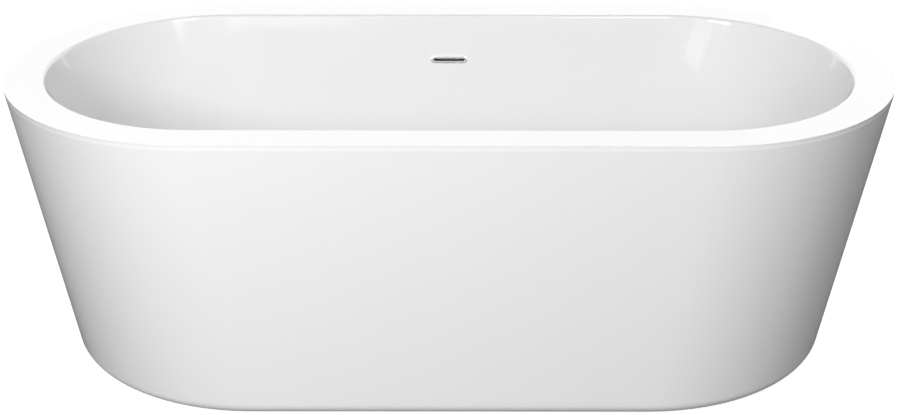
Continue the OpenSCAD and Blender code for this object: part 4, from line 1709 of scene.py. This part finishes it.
@dataclass
class SlipJoint:
    """A slip nut and its washer on a pipe."""

    shop: Workshop
    nut: str
    washer: str
    place: Point
    way: JointFrame
    pipe_r: float
    grip: float = 0.010
    washer_h: float = 0.003
    floor: float = 0.005
    spigot_wall: float = 0.0035
    wall: float = 0.004
    clearance: float = 0.0001
    lead_in: float = 0.0008
    shoulder: float = 0.003
    draft: float = 0.0002
    washer_ease: float = 0.0004
    rib_r: float = 0.0011
    rib_foot: float = 0.001
    rib_short_by: float = 0.0045
    ribs: int = 20

    def build(self) -> None:
        """Makes the nut and the washer."""
        frame = self.way.matrix(self.place)
        bore = self.pipe_r + self.clearance
        pocket = self.pipe_r + self.spigot_wall + self.clearance
        outer = self.pipe_r + self.spigot_wall + self.wall
        low = -self.grip
        high = self.washer_h + self.floor
        seat = self.washer_h + self.clearance
        outline = rounded([
            (pocket + self.lead_in, low, 0.0), (outer - self.draft, low, 0.0008),
            (outer, high - self.shoulder, 0.001), (outer - self.shoulder, high, 0.0012),
            (bore + self.lead_in, high, 0.0), (bore, high - self.lead_in, 0.0), (bore, seat, 0.0),
            (pocket, seat, 0.0), (pocket, low + self.lead_in, 0.0),
        ])
        nut = turned(self.nut + "_blank", outline, WHITE_PLASTIC)
        sizes = {
            "Radius": outer - self.clearance, "Height": high - low - self.rib_short_by,
            "Rib Radius": self.rib_r, "Ribs": self.ribs, "Material": WHITE_PLASTIC.material(),
        }
        seed = bpy.data.meshes.new(self.nut + "_seed")
        ribs = self.shop.ribs.graph.bake(self.nut + "_ribs", seed, sizes)
        ribs.transform(lifted(low + self.rib_foot))
        whole = merged(self.nut + "_moulded", [nut, ribs])
        whole.transform(frame)
        self.shop.add(whole.name, whole, WHITE_PLASTIC, self.nut)
        ring = ring_outline(bore, pocket - self.clearance, 0.0, self.washer_h, self.washer_ease)
        washer = turned(self.washer + "_rubber", ring, RUBBER, frame)
        self.shop.add(washer.name, washer, RUBBER, self.washer)


def ring_outline(inner: float, outer: float, low: float, high: float, ease: float) -> Outline:
    """The outline of a flat ring with eased corners.

    Args:
        inner: its inner radius.
        outer: its outer radius.
        low: the height of its underside.
        high: the height of its top.
        ease: the radius of its corners.

    Returns:
        The outline, for turned().
    """
    return rounded([(inner, low, ease), (outer, low, ease), (outer, high, ease), (inner, high, ease)], 3)


# ---- Overflow ----


@dataclass
class Overflow:
    """The slot trim, its seal and box, and the pipe down to the waste."""

    shop: Workshop
    trim_length: float = 0.078
    trim_height: float = 0.015
    trim_thick: float = 0.003
    slot_length: float = 0.066
    slot_height: float = 0.005
    neck_wall: float = 0.0015
    neck_depth: float = 0.0125
    seal_h: float = 0.0025
    pipe_r: float = 0.016
    pipe_wall: float = 0.002
    bend_r: float = 0.042
    bend_steps: int = 24
    face_edge_r: float = 0.0019
    slot_edge_r: float = 0.0009
    face_edge_steps: int = 8
    slot_edge_steps: int = 6
    seal_gap: float = 0.0005
    seal_lip: float = 0.0065
    seal_ease: float = 0.0006
    hopper_ease: float = 0.0007
    joint_reach: float = 0.008

    def trim_rings(self) -> list[Ring]:
        """Rings of the trim: its rounded frame, the slot through it and the neck behind it."""
        face = Ring(self.trim_length / 2.0, self.trim_height / 2.0, 0.0)
        slot = Ring(self.slot_length / 2.0, self.slot_height / 2.0, 0.0)
        top = self.trim_thick
        outer_r = self.face_edge_r
        inner_r = self.slot_edge_r
        rings = [face]
        for i in range(self.face_edge_steps + 1):
            turn = QUARTER_TURN * i / self.face_edge_steps
            height = top - outer_r + outer_r * math.sin(turn)
            rings.append(face.inset(outer_r * (1.0 - math.cos(turn))).at(height))
        for i in range(self.slot_edge_steps + 1):
            turn = QUARTER_TURN * i / self.slot_edge_steps
            height = top - inner_r + inner_r * math.cos(turn)
            rings.append(slot.inset(-inner_r * (1.0 - math.sin(turn))).at(height))
        neck = slot.inset(-self.neck_wall)
        rings += [slot.at(-self.neck_depth), neck.at(-self.neck_depth), neck]
        return rings + rings[:1]

    def seal_rings(self) -> list[Ring]:
        """Rings of the seal behind the basin's wall."""
        high = -self.shop.bath.wall
        low = high - self.seal_h
        slot = Ring(self.slot_length / 2.0, self.slot_height / 2.0, 0.0)
        inner = slot.inset(-(self.neck_wall + self.seal_gap))
        outer = inner.inset(-self.seal_lip)
        eased = outer.inset(self.seal_ease)
        rings = [
            inner.at(low), eased.at(low), outer.at(low + self.seal_ease), outer.at(high - self.seal_ease),
            eased.at(high), inner.at(high),
        ]
        return rings + rings[:1]

    def pipe_path(self) -> list[Station]:
        """The middle line of the pipe, from the waste's arm round the bend and up to the box."""
        low, high = self.shop.box("overflow_pipe")
        arm_z = low.z + self.pipe_r
        pipe_y = high.y - self.pipe_r
        path = [(low.y, arm_z, 0.0), (pipe_y - self.bend_r, arm_z, 0.0)]
        for i in range(1, self.bend_steps + 1):
            turn = QUARTER_TURN * i / self.bend_steps
            y = pipe_y - self.bend_r + self.bend_r * math.sin(turn)
            path.append((y, arm_z + self.bend_r * (1.0 - math.cos(turn)), turn))
        path.append((pipe_y, high.z, QUARTER_TURN))
        return path

    def build(self) -> None:
        """Makes the overflow's pieces."""
        shop = self.shop
        wall = shop.bath.on_back_wall()
        trim = shop.shells.loft("overflow_trim_polished", self.trim_rings(), CHROME, 24, 8)
        trim.transform(wall)
        shop.add(trim.name, trim, CHROME, "overflow_trim")
        seal = shop.shells.loft("overflow_gasket_rubber", self.seal_rings(), RUBBER, 16, 6)
        seal.transform(wall)
        shop.add(seal.name, seal, RUBBER, "overflow_gasket")
        shop.ease("overflow_hopper", WHITE_PLASTIC, self.hopper_ease)
        path = self.pipe_path()
        bore_r = self.pipe_r - self.pipe_wall
        pipe = shop.pipes.sweep("overflow_pipe_chromed", path, self.pipe_r, bore_r, CHROME)
        shop.add(pipe.name, pipe, CHROME, "overflow_pipe")
        upper, _ = shop.box("overflow_upper_nut")
        _, lower = shop.box("overflow_lower_nut")
        under_hopper = (0.0, path[-1][0], upper.z + self.joint_reach)
        beside_tee = (0.0, lower.y - self.joint_reach, path[0][1])
        for end, place, way in (
            ("upper", under_hopper, JointFrame.DOWN),
            ("lower", beside_tee, JointFrame.REAR),
        ):
            nut, washer = f"overflow_{end}_nut", f"overflow_{end}_washer"
            SlipJoint(shop, nut, washer, place, way, self.pipe_r).build()


# ---- Waste ----


@dataclass
class Waste:
    """The waste in the basin's floor, its push-button plug, and the tee and tail below it."""

    shop: Workshop
    thread_r: float = 0.024
    bore_r: float = 0.020
    ledge: float = 0.0015
    thread_pitch: float = 0.0023
    thread_depth: float = 0.0009
    stem_r: float = 0.005
    spring_r: float = 0.0082
    spring_wire_r: float = 0.0007
    spring_turns: float = 7.0
    cap_travel: float = 0.009
    tail_r: float = 0.01905
    tail_spigot_r: float = 0.01845
    pipe_wall: float = 0.002
    tail_ease: float = 0.0004
    shoulder_ease: float = 0.0003
    joint_reach: float = 0.008
    gasket_gap: float = 0.0005
    flange_seat: float = 0.0008
    plain_below_flange: float = 0.010
    thread_lead: float = 0.001
    thread_stop: float = 0.012
    flange_edge: float = 0.0012
    flange_bevel: float = 0.0042
    mouth_lip: float = 0.004
    mouth_depth: float = 0.003
    cap_skirt: float = 0.0010
    cap_edge: float = 0.0018
    cap_wall: float = 0.0035
    cap_socket: float = 0.0023
    dome_share: float = 0.36
    seal_inset: float = 0.002
    seal_ease: float = 0.0009
    groove_rise: float = 0.0030
    groove_width: float = 0.0018
    groove_slope: float = 0.0004
    groove_depth: float = 0.0006
    stem_ease: float = 0.0008

    @property
    def axis(self) -> Matrix:
        """The waste's axis, on the floor."""
        return Matrix.Translation((0.0, self.shop.bath.waste_y, 0.0))

    def flange_outline(self) -> Outline:
        """Outline of the flange and its threaded tail."""
        low, high = self.shop.box("waste_flange")
        flange_r = high.x
        under = self.shop.bath.floor_z + self.flange_seat
        guide = self.shop.box("plug_guide")[0].z
        outline = [(self.bore_r - self.ledge, low.z), (self.thread_r - self.thread_lead, low.z)]
        root_r = self.thread_r - self.thread_depth
        ridge = ((self.thread_r, 0.0), (self.thread_r, 0.2), (root_r, 0.55), (root_r, 0.75))
        turns = int((under - self.thread_stop - low.z) / self.thread_pitch)
        for i in range(turns):
            z = low.z + self.thread_lead + i * self.thread_pitch
            outline += [(r, z + self.thread_pitch * share) for r, share in ridge]
        outline += rounded([
            (self.thread_r, under - self.plain_below_flange, 0.0), (self.thread_r, under, 0.0),
            (flange_r, under, 0.0004), (flange_r - 0.0002, under + self.flange_edge, 0.0008),
            (flange_r - self.flange_bevel, high.z, 0.003),
            (self.bore_r + self.mouth_lip, high.z - 0.0003, 0.002),
            (self.bore_r, high.z - self.mouth_depth, 0.002),
            (self.bore_r, guide, 0.0), (self.bore_r - self.ledge, guide, 0.0),
        ])
        return outline

    def cap_outline(self) -> Outline:
        """Outline of the domed push-button cap, with its rolled edge and the socket for its stem."""
        low, high = self.shop.box("plug_cap")
        r = high.x
        bottom = low.z
        rise = high.z - bottom
        edge = self.cap_edge
        fall = rise * self.dome_share
        socket_top = bottom + self.cap_socket
        dome = [
            (r * share, bottom + rise - fall * share * share)
            for share in (0.0, 0.15, 0.3, 0.45, 0.6, 0.72, 0.83, 0.91)
        ]
        side = rounded([
            (r - self.cap_skirt, bottom + rise * 0.62, edge * 0.8), (r, bottom + rise * 0.4, edge * 0.6),
            (r, bottom + 0.0006, 0.0004), (r - self.cap_skirt, bottom, 0.0005),
        ])
        under = [
            (r - self.cap_wall, bottom), (self.stem_r + 0.001, bottom), (self.stem_r, bottom + 0.0005),
            (self.stem_r, socket_top), (0.0, socket_top),
        ]
        return dome + side + under

    def stem_outline(self) -> Outline:
        """Outline of the plug's stem, with a groove near its lower end."""
        low, high = self.shop.box("plug_stem")
        neck_r = self.stem_r - self.groove_depth
        slope = self.groove_slope
        groove_z = low.z + self.groove_rise
        groove_top = groove_z + self.groove_width
        return [
            (0.0, low.z), (self.stem_r - self.stem_ease, low.z), (self.stem_r, low.z + self.stem_ease),
            (self.stem_r, groove_z), (neck_r, groove_z + slope), (neck_r, groove_top - slope),
            (self.stem_r, groove_top), (self.stem_r, high.z), (0.0, high.z),
        ]

    def build_plug(self) -> None:
        """Makes the push-button plug: its cap, stem, seal and spring."""
        shop = self.shop
        cap = turned("plug_cap_polished", self.cap_outline(), CHROME, self.axis, steps=128)
        shop.add(cap.name, cap, CHROME, "plug_cap", "plug")
        stem = turned("plug_stem_turned", self.stem_outline(), BRASS, self.axis, steps=48)
        shop.add(stem.name, stem, BRASS, "plug_stem", "plug")
        low, high = shop.box("plug_seal")
        ring = ring_outline(self.bore_r + self.seal_inset, high.x, low.z, high.z, self.seal_ease)
        seal = turned("plug_seal_rubber", ring, RUBBER, self.axis)
        shop.add(seal.name, seal, RUBBER, "plug_seal", "plug")
        self.build_spring()

    def build_spring(self) -> None:
        """Makes the spring, which moves with the plug."""
        shop = self.shop
        low, high = shop.box("plug_spring")
        length = high.z - low.z
        sizes = {
            "Radius": self.spring_r, "Height": length - 2.0 * self.spring_wire_r, "Turns": self.spring_turns,
            "Wire Radius": self.spring_wire_r, "Material": ZINC.material(),
        }
        coil = shop.coils.graph.bake("plug_spring_coil", bpy.data.meshes.new("coil_seed"), sizes)
        coil.transform(self.axis @ lifted(low.z + self.spring_wire_r))
        face_outwards(coil)
        spring = shop.add(coil.name, coil, ZINC, "plug_spring", "plug")
        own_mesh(spring)

    def build_seat(self) -> None:
        """Makes the flange and what clamps it to the basin."""
        shop = self.shop
        flange = turned("waste_flange_polished", self.flange_outline(), CHROME, self.axis, steps=128)
        shop.add(flange.name, flange, CHROME, "waste_flange")
        for node, finish, ease in (
            ("waste_gasket_upper", RUBBER, 0.0003),
            ("waste_gasket_lower", RUBBER, 0.0008),
            ("waste_washer", ZINC, 0.0003),
        ):
            low, high = shop.box(node)
            outline = ring_outline(self.thread_r + self.gasket_gap, high.x, low.z, high.z, ease)
            shop.add(node + "_eased", turned(node + "_eased", outline, finish, self.axis), finish, node)
        shop.ease("waste_locknut", BRASS, 0.0009)
        shop.ease("plug_guide", BRASS, 0.0004)

    def tail_outline(self, shoulder: float) -> Outline:
        """Outline of the tail pipe, whose upper end is thinned to go into its spigot.

        Args:
            shoulder: the height where it is thinned.

        Returns:
            The outline.
        """
        low, high = self.shop.box("tail_pipe")
        inner = self.tail_r - self.pipe_wall
        ease = self.tail_ease
        return [
            (inner, low.z + ease), (inner + ease, low.z),
            (self.tail_r - ease, low.z), (self.tail_r, low.z + ease),
            (self.tail_r, shoulder - self.shoulder_ease), (self.tail_r - self.shoulder_ease, shoulder),
            (self.tail_spigot_r, shoulder), (self.tail_spigot_r, high.z), (inner, high.z),
        ]

    def build_tail(self) -> None:
        """Makes the tee, the tail pipe and its joint."""
        shop = self.shop
        shop.ease("waste_tee", WHITE_PLASTIC, 0.0009)
        nut_foot = shop.box("tail_slip_nut")[0].z
        outline = self.tail_outline(nut_foot - self.shoulder_ease)
        tail = turned("tail_pipe_chromed", outline, CHROME, self.axis)
        shop.add(tail.name, tail, CHROME, "tail_pipe")
        place = (0.0, shop.bath.waste_y, nut_foot + self.joint_reach)
        SlipJoint(
            shop, "tail_slip_nut", "tail_slip_washer", place, JointFrame.DOWN, self.tail_spigot_r
        ).build()

    def build(self) -> None:
        """Makes the waste's pieces."""
        self.build_seat()
        self.build_plug()
        self.build_tail()


# ---- Base frame ----


@dataclass
class BaseFrame:
    """The board, the tube frame under it, and the brackets that hold the skirt."""

    shop: Workshop
    screw_places: tuple[float, ...] = (-0.400, 0.120, 0.400)
    rail_y: float = 0.198
    board_screw_r: float = 0.0025
    bracket_screw_r: float = 0.002
    head_share: float = 1.4
    weld_nut_r: float = 0.0095
    weld_nut_h: float = 0.008
    weld_nut_bore_r: float = 0.00505
    tube_ease: float = 0.0009
    board_ease: float = 0.0008
    cap_ease: float = 0.0006
    bracket_ease: float = 0.0004

    def screws(self, node: str, places: Sequence[Point], radius: float, length: float, flipped: bool) -> None:
        """Makes a set of screws.

        Args:
            node: the node that they stand for.
            places: the middle of each head's seat.
            radius: the shank's radius.
            length: the shank's length.
            flipped: whether they point down.
        """
        sign = -1.0 if flipped else 1.0
        seed = bpy.data.meshes.new(node + "_places")
        seed.from_pydata([(x, sign * y, sign * z) for x, y, z in places], [], [])
        sizes = {
            "Head Radius": radius * 2.0, "Head Height": radius * self.head_share, "Shank Radius": radius,
            "Shank Length": length, "Material": ZINC.material(),
        }
        mesh = self.shop.screws.graph.bake(node + "_zinc", seed, sizes)
        if flipped:
            mesh.transform(Matrix.Rotation(math.pi, 4, "X"))
        self.shop.add(node + "_zinc", mesh, ZINC, node)

    def build_screws(self) -> None:
        """Makes the three sets of screws."""
        box = self.shop.box
        high = box("board_screws")[1]
        seat = box("rail_front")[0].z
        places = [(x, side * self.rail_y, seat) for x in self.screw_places for side in (-1.0, 1.0)]
        self.screws("board_screws", places, self.board_screw_r, high.z - seat, False)
        for node, flipped in (("bracket_screws", False), ("flange_screws", True)):
            low, high = box(node)
            x = high.x - 2.0 * self.bracket_screw_r
            y = high.y - 2.0 * self.bracket_screw_r * math.cos(math.pi / 6.0)
            head = self.head_share * self.bracket_screw_r
            seat = high.z - head if flipped else low.z + head
            length = seat - low.z if flipped else high.z - seat
            places = [(sx * x, sy * y, seat) for sx in (-1.0, 1.0) for sy in (-1.0, 1.0)]
            self.screws(node, places, self.bracket_screw_r, length, flipped)

    def build_weld_nuts(self) -> None:
        """Makes the nuts that are welded under the cross members, one over each foot."""
        seat = self.shop.box("weld_nuts")[0].z
        nuts = []
        for x, y in foot_places(self.shop):
            nut = hexagon_nut(self.weld_nut_r, self.weld_nut_h, self.weld_nut_bore_r)
            nut.transform(Matrix.Translation((x, y, seat)))
            nuts.append(nut)
        self.shop.add("weld_nuts_zinc", merged("weld_nuts_zinc", nuts), ZINC, "weld_nuts")

    def build(self) -> None:
        """Makes the frame's pieces."""
        shop = self.shop
        shop.ease("floor_board", PLYWOOD, self.board_ease)
        cross_members = [f"cross_member_{place}" for place in ("left", "middle", "right")]
        for node in ("rail_front", "rail_rear", *cross_members):
            shop.ease(node, GALVANISED, self.tube_ease)
        shop.ease("tube_end_caps", BLACK_PLASTIC, self.cap_ease)
        for number in range(1, 5):
            shop.ease(f"skirt_bracket_{number}", ZINC, self.bracket_ease)
        self.build_screws()
        self.build_weld_nuts()


def foot_places(shop: Workshop) -> list[tuple[float, float]]:
    """The place of each foot, from its pad.

    Args:
        shop: the workshop.

    Returns:
        x and y of each foot, in order.
    """
    places = []
    for number in range(1, 6):
        low, high = shop.box(f"foot_pad_{number}")
        places.append(((low.x + high.x) / 2.0, (low.y + high.y) / 2.0))
    return places


# ---- Levelling feet ----


@dataclass
class LevellingFeet:
    """Five feet: a moulded pad, a threaded stem with a hexagon collar, and a lock nut."""

    shop: Workshop
    thread_r: float = 0.005
    pitch: float = 0.0015
    thread_depth: float = 0.0008
    collar_h: float = 0.006
    collar_r: float = 0.0085
    nut_r: float = 0.0095
    nut_h: float = 0.008
    rows_a_turn: int = 8
    sides: int = 16
    clearance: float = 0.00005
    collar_gap: float = 0.0003
    overlap: float = 0.001
    socket_floor: float = 0.004
    pad_edge_r: float = 0.0012
    pad_edge_h: float = 0.0048
    pad_shoulder: float = 0.62
    pad_shoulder_h: float = 0.0080
    boss_foot_h: float = 0.0088
    boss_wall: float = 0.005
    shank_ease: float = 0.001
    collar_bite: float = 0.0005
    thread_crease: float = math.radians(80.0)

    def pad(self, number: int, place: Matrix) -> None:
        """Makes a foot's pad.

        Args:
            number: the foot's number.
            place: its axis on the floor.
        """
        node = f"foot_pad_{number}"
        low, high = self.shop.box(node)
        r = (high.x - low.x) / 2.0
        top = high.z
        bore = self.thread_r + self.clearance
        boss_r = self.thread_r + self.boss_wall
        outline = rounded([
            (0.0, 0.0, 0.0), (r, 0.0, self.pad_edge_r), (r, self.pad_edge_h, self.pad_edge_r),
            (r * self.pad_shoulder, self.pad_shoulder_h, 0.002), (boss_r + 0.0002, self.boss_foot_h, 0.002),
            (boss_r, top, 0.0008), (bore, top, 0.0005),
            (bore, self.socket_floor, 0.0), (0.0, self.socket_floor, 0.0),
        ])
        mesh = turned(node + "_moulded", outline, GREY_PLASTIC, place)
        self.shop.add(mesh.name, mesh, GREY_PLASTIC, node, f"foot_{number}")

    def stem(self, number: int, place: Matrix) -> None:
        """Makes a foot's threaded stem.

        Args:
            number: the foot's number.
            place: its axis on the floor.
        """
        node = f"foot_stem_{number}"
        low, high = self.shop.box(node)
        collar_z = self.shop.box(f"foot_pad_{number}")[1].z + self.collar_gap
        start = collar_z + self.collar_h - self.overlap
        length = high.z - start
        sizes = {
            "Radius": self.thread_r, "Length": length, "Pitch": self.pitch, "Depth": self.thread_depth,
            "Sides": self.sides, "Rows": int(length / self.pitch * self.rows_a_turn),
            "Material": ZINC.material(),
        }
        rod = self.shop.threads.graph.bake("rod", bpy.data.meshes.new("rod_seed"), sizes)
        rod.transform(lifted(start))
        face_outwards(rod, self.thread_crease)
        shank_top = collar_z + self.overlap
        shank_outline = [
            (0.0, low.z), (self.thread_r - self.shank_ease, low.z), (self.thread_r, low.z + self.shank_ease),
            (self.thread_r, shank_top), (0.0, shank_top),
        ]
        shank = turned("shank", shank_outline, ZINC, steps=32)
        collar = hexagon_nut(self.collar_r, self.collar_h, self.thread_r - self.collar_bite)
        collar.transform(lifted(collar_z))
        mesh = merged(node + "_threaded", [rod, shank, collar])
        mesh.transform(place)
        self.shop.add(mesh.name, mesh, ZINC, node, f"foot_{number}_screw")

    def lock_nut(self, number: int, place: Matrix) -> None:
        """Makes a foot's lock nut.

        Args:
            number: the foot's number.
            place: its axis on the floor.
        """
        node = f"foot_locknut_{number}"
        mesh = hexagon_nut(self.nut_r, self.nut_h, self.thread_r + self.clearance)
        mesh.transform(place @ lifted(self.shop.box(node)[0].z))
        self.shop.add(node + "_zinc", mesh, ZINC, node)

    def build(self) -> None:
        """Makes the five feet."""
        for number, (x, y) in enumerate(foot_places(self.shop), 1):
            place = Matrix.Translation((x, y, 0.0))
            self.pad(number, place)
            self.stem(number, place)
            self.lock_nut(number, place)


# ---- Studio ----


@dataclass(frozen=True)
class Lamp:
    """A soft white rectangular lamp, aimed at the middle of the bath."""

    name: str
    place: Point
    size: tuple[float, float]
    power: float
    aim: Point = (0.0, 0.0, 0.35)

    def hang(self) -> None:
        """Adds the lamp to the scene."""
        data = bpy.data.lights.new(self.name, "AREA")
        data.shape = "RECTANGLE"
        data.size, data.size_y = self.size
        data.energy = self.power
        lamp = bpy.data.objects.new(self.name, data)
        lamp.location = self.place
        way = Vector(self.aim) - Vector(self.place)
        lamp.rotation_euler = way.to_track_quat("-Z", "Y").to_euler()
        lamp.visible_camera = False
        bpy.context.collection.objects.link(lamp)


@dataclass(frozen=True)
class Studio:
    """The camera, the pale floor, the white world and the lamps."""

    lens: float = 61.67
    distance: float = 3.0983
    pitch: float = math.radians(24.82)
    yaw: float = math.radians(-0.0221)
    roll: float = math.radians(0.0793)
    aim_z: float = 0.2485
    ambient: float = 0.08
    floor_size: float = 14.0
    floor_grey: float = 0.25
    floor_glow: float = 0.9
    sensor_width: float = 36.0
    clip_end: float = 60.0
    lamps: tuple[Lamp, ...] = (
        Lamp("key_softbox", (-0.6, -2.6, 1.8), (0.8, 0.8), 6.4),
        Lamp("left_softbox", (-1.6, -3.0, 2.0), (1.0, 1.0), 74.0),
        Lamp("low_softbox", (-0.8, -2.8, 0.8), (0.8, 0.8), 2.9),
        Lamp("right_softbox", (1.93, -4.14, 2.38), (1.6, 1.6), 25.0),
        Lamp("right_high_softbox", (1.3, -2.79, 4.29), (1.6, 1.6), 92.0),
        Lamp("rear_wide_softbox", (0.0, 4.0, 2.2), (8.0, 2.6), 100.4),
        Lamp("rear_right_softbox", (2.5, 3.5, 2.2), (2.5, 2.0), 2.6),
    )

    def set_camera(self) -> None:
        """Makes the scene's camera."""
        data = bpy.data.cameras.new("camera")
        data.lens = self.lens
        data.sensor_width = self.sensor_width
        data.clip_end = self.clip_end
        camera = bpy.data.objects.new("camera", data)
        away = Vector((
            math.sin(self.yaw) * math.cos(self.pitch),
            -math.cos(self.yaw) * math.cos(self.pitch),
            math.sin(self.pitch),
        ))
        right = (-away).cross(Vector((0.0, 0.0, 1.0))).normalized()
        up = right.cross(-away)
        level = math.cos(self.roll) * right + math.sin(self.roll) * up
        upright = math.cos(self.roll) * up - math.sin(self.roll) * right
        place = Vector((0.0, 0.0, self.aim_z)) + away * self.distance
        camera.matrix_world = Matrix((
            (level.x, upright.x, away.x, place.x),
            (level.y, upright.y, away.y, place.y),
            (level.z, upright.z, away.z, place.z),
            (0.0, 0.0, 0.0, 1.0),
        ))
        bpy.context.collection.objects.link(camera)
        bpy.context.scene.camera = camera

    def set_world(self) -> None:
        """Makes the world white to the camera and in reflections, and a faint light everywhere else."""
        world = bpy.data.worlds.new("studio")
        bpy.context.scene.world = world
        world.use_nodes = True
        graph = NodeGraph(world.node_tree)
        rays = ("Is Camera Ray", "Is Glossy Ray", "Is Transmission Ray")
        seen, gloss, through = [graph.node("ShaderNodeLightPath", output=ray) for ray in rays]
        white = (seen + gloss + through).least(1.0)
        level = white * (1.0 - self.ambient) + self.ambient
        glow = {"Color": (1.0, 1.0, 1.0, 1.0), "Strength": level}
        graph.node("ShaderNodeOutputWorld", None, {"Surface": graph.node("ShaderNodeBackground", None, glow)})

    def lay_floor(self) -> None:
        """Lays the pale floor, which takes the bath's shadow and shows as white elsewhere."""
        half = self.floor_size / 2.0
        mesh = bpy.data.meshes.new("floor")
        corners = [(-half, -half, 0.0), (half, -half, 0.0), (half, half, 0.0), (-half, half, 0.0)]
        mesh.from_pydata(corners, [], [(0, 1, 2, 3)])
        graph = ShaderGraph("pale_floor")
        graph.feed("Roughness", 0.8)
        graph.feed("Base Color", (self.floor_grey,) * 3)
        seen = graph.node("ShaderNodeLightPath", output="Is Camera Ray")
        graph.feed("Emission Color", (1.0, 1.0, 1.0))
        graph.feed("Emission Strength", seen * self.floor_glow)
        mesh.materials.append(graph.material)
        floor = bpy.data.objects.new("floor", mesh)
        bpy.context.collection.objects.link(floor)

    def build(self) -> None:
        """Sets up the studio."""
        self.set_camera()
        self.set_world()
        self.lay_floor()
        for lamp in self.lamps:
            lamp.hang()
        bpy.context.scene.view_settings.view_transform = "Standard"


def main() -> None:
    """Loads the frame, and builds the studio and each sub-assembly."""
    logging.basicConfig(level=logging.INFO, format="%(message)s")
    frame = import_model()
    shop = Workshop(frame)
    Studio().build()
    for assembly in (Shells(shop), Overflow(shop), Waste(shop), BaseFrame(shop), LevellingFeet(shop)):
        assembly.build()
    LOG.info("sizes written")


if __name__ == "__main__":
    main()
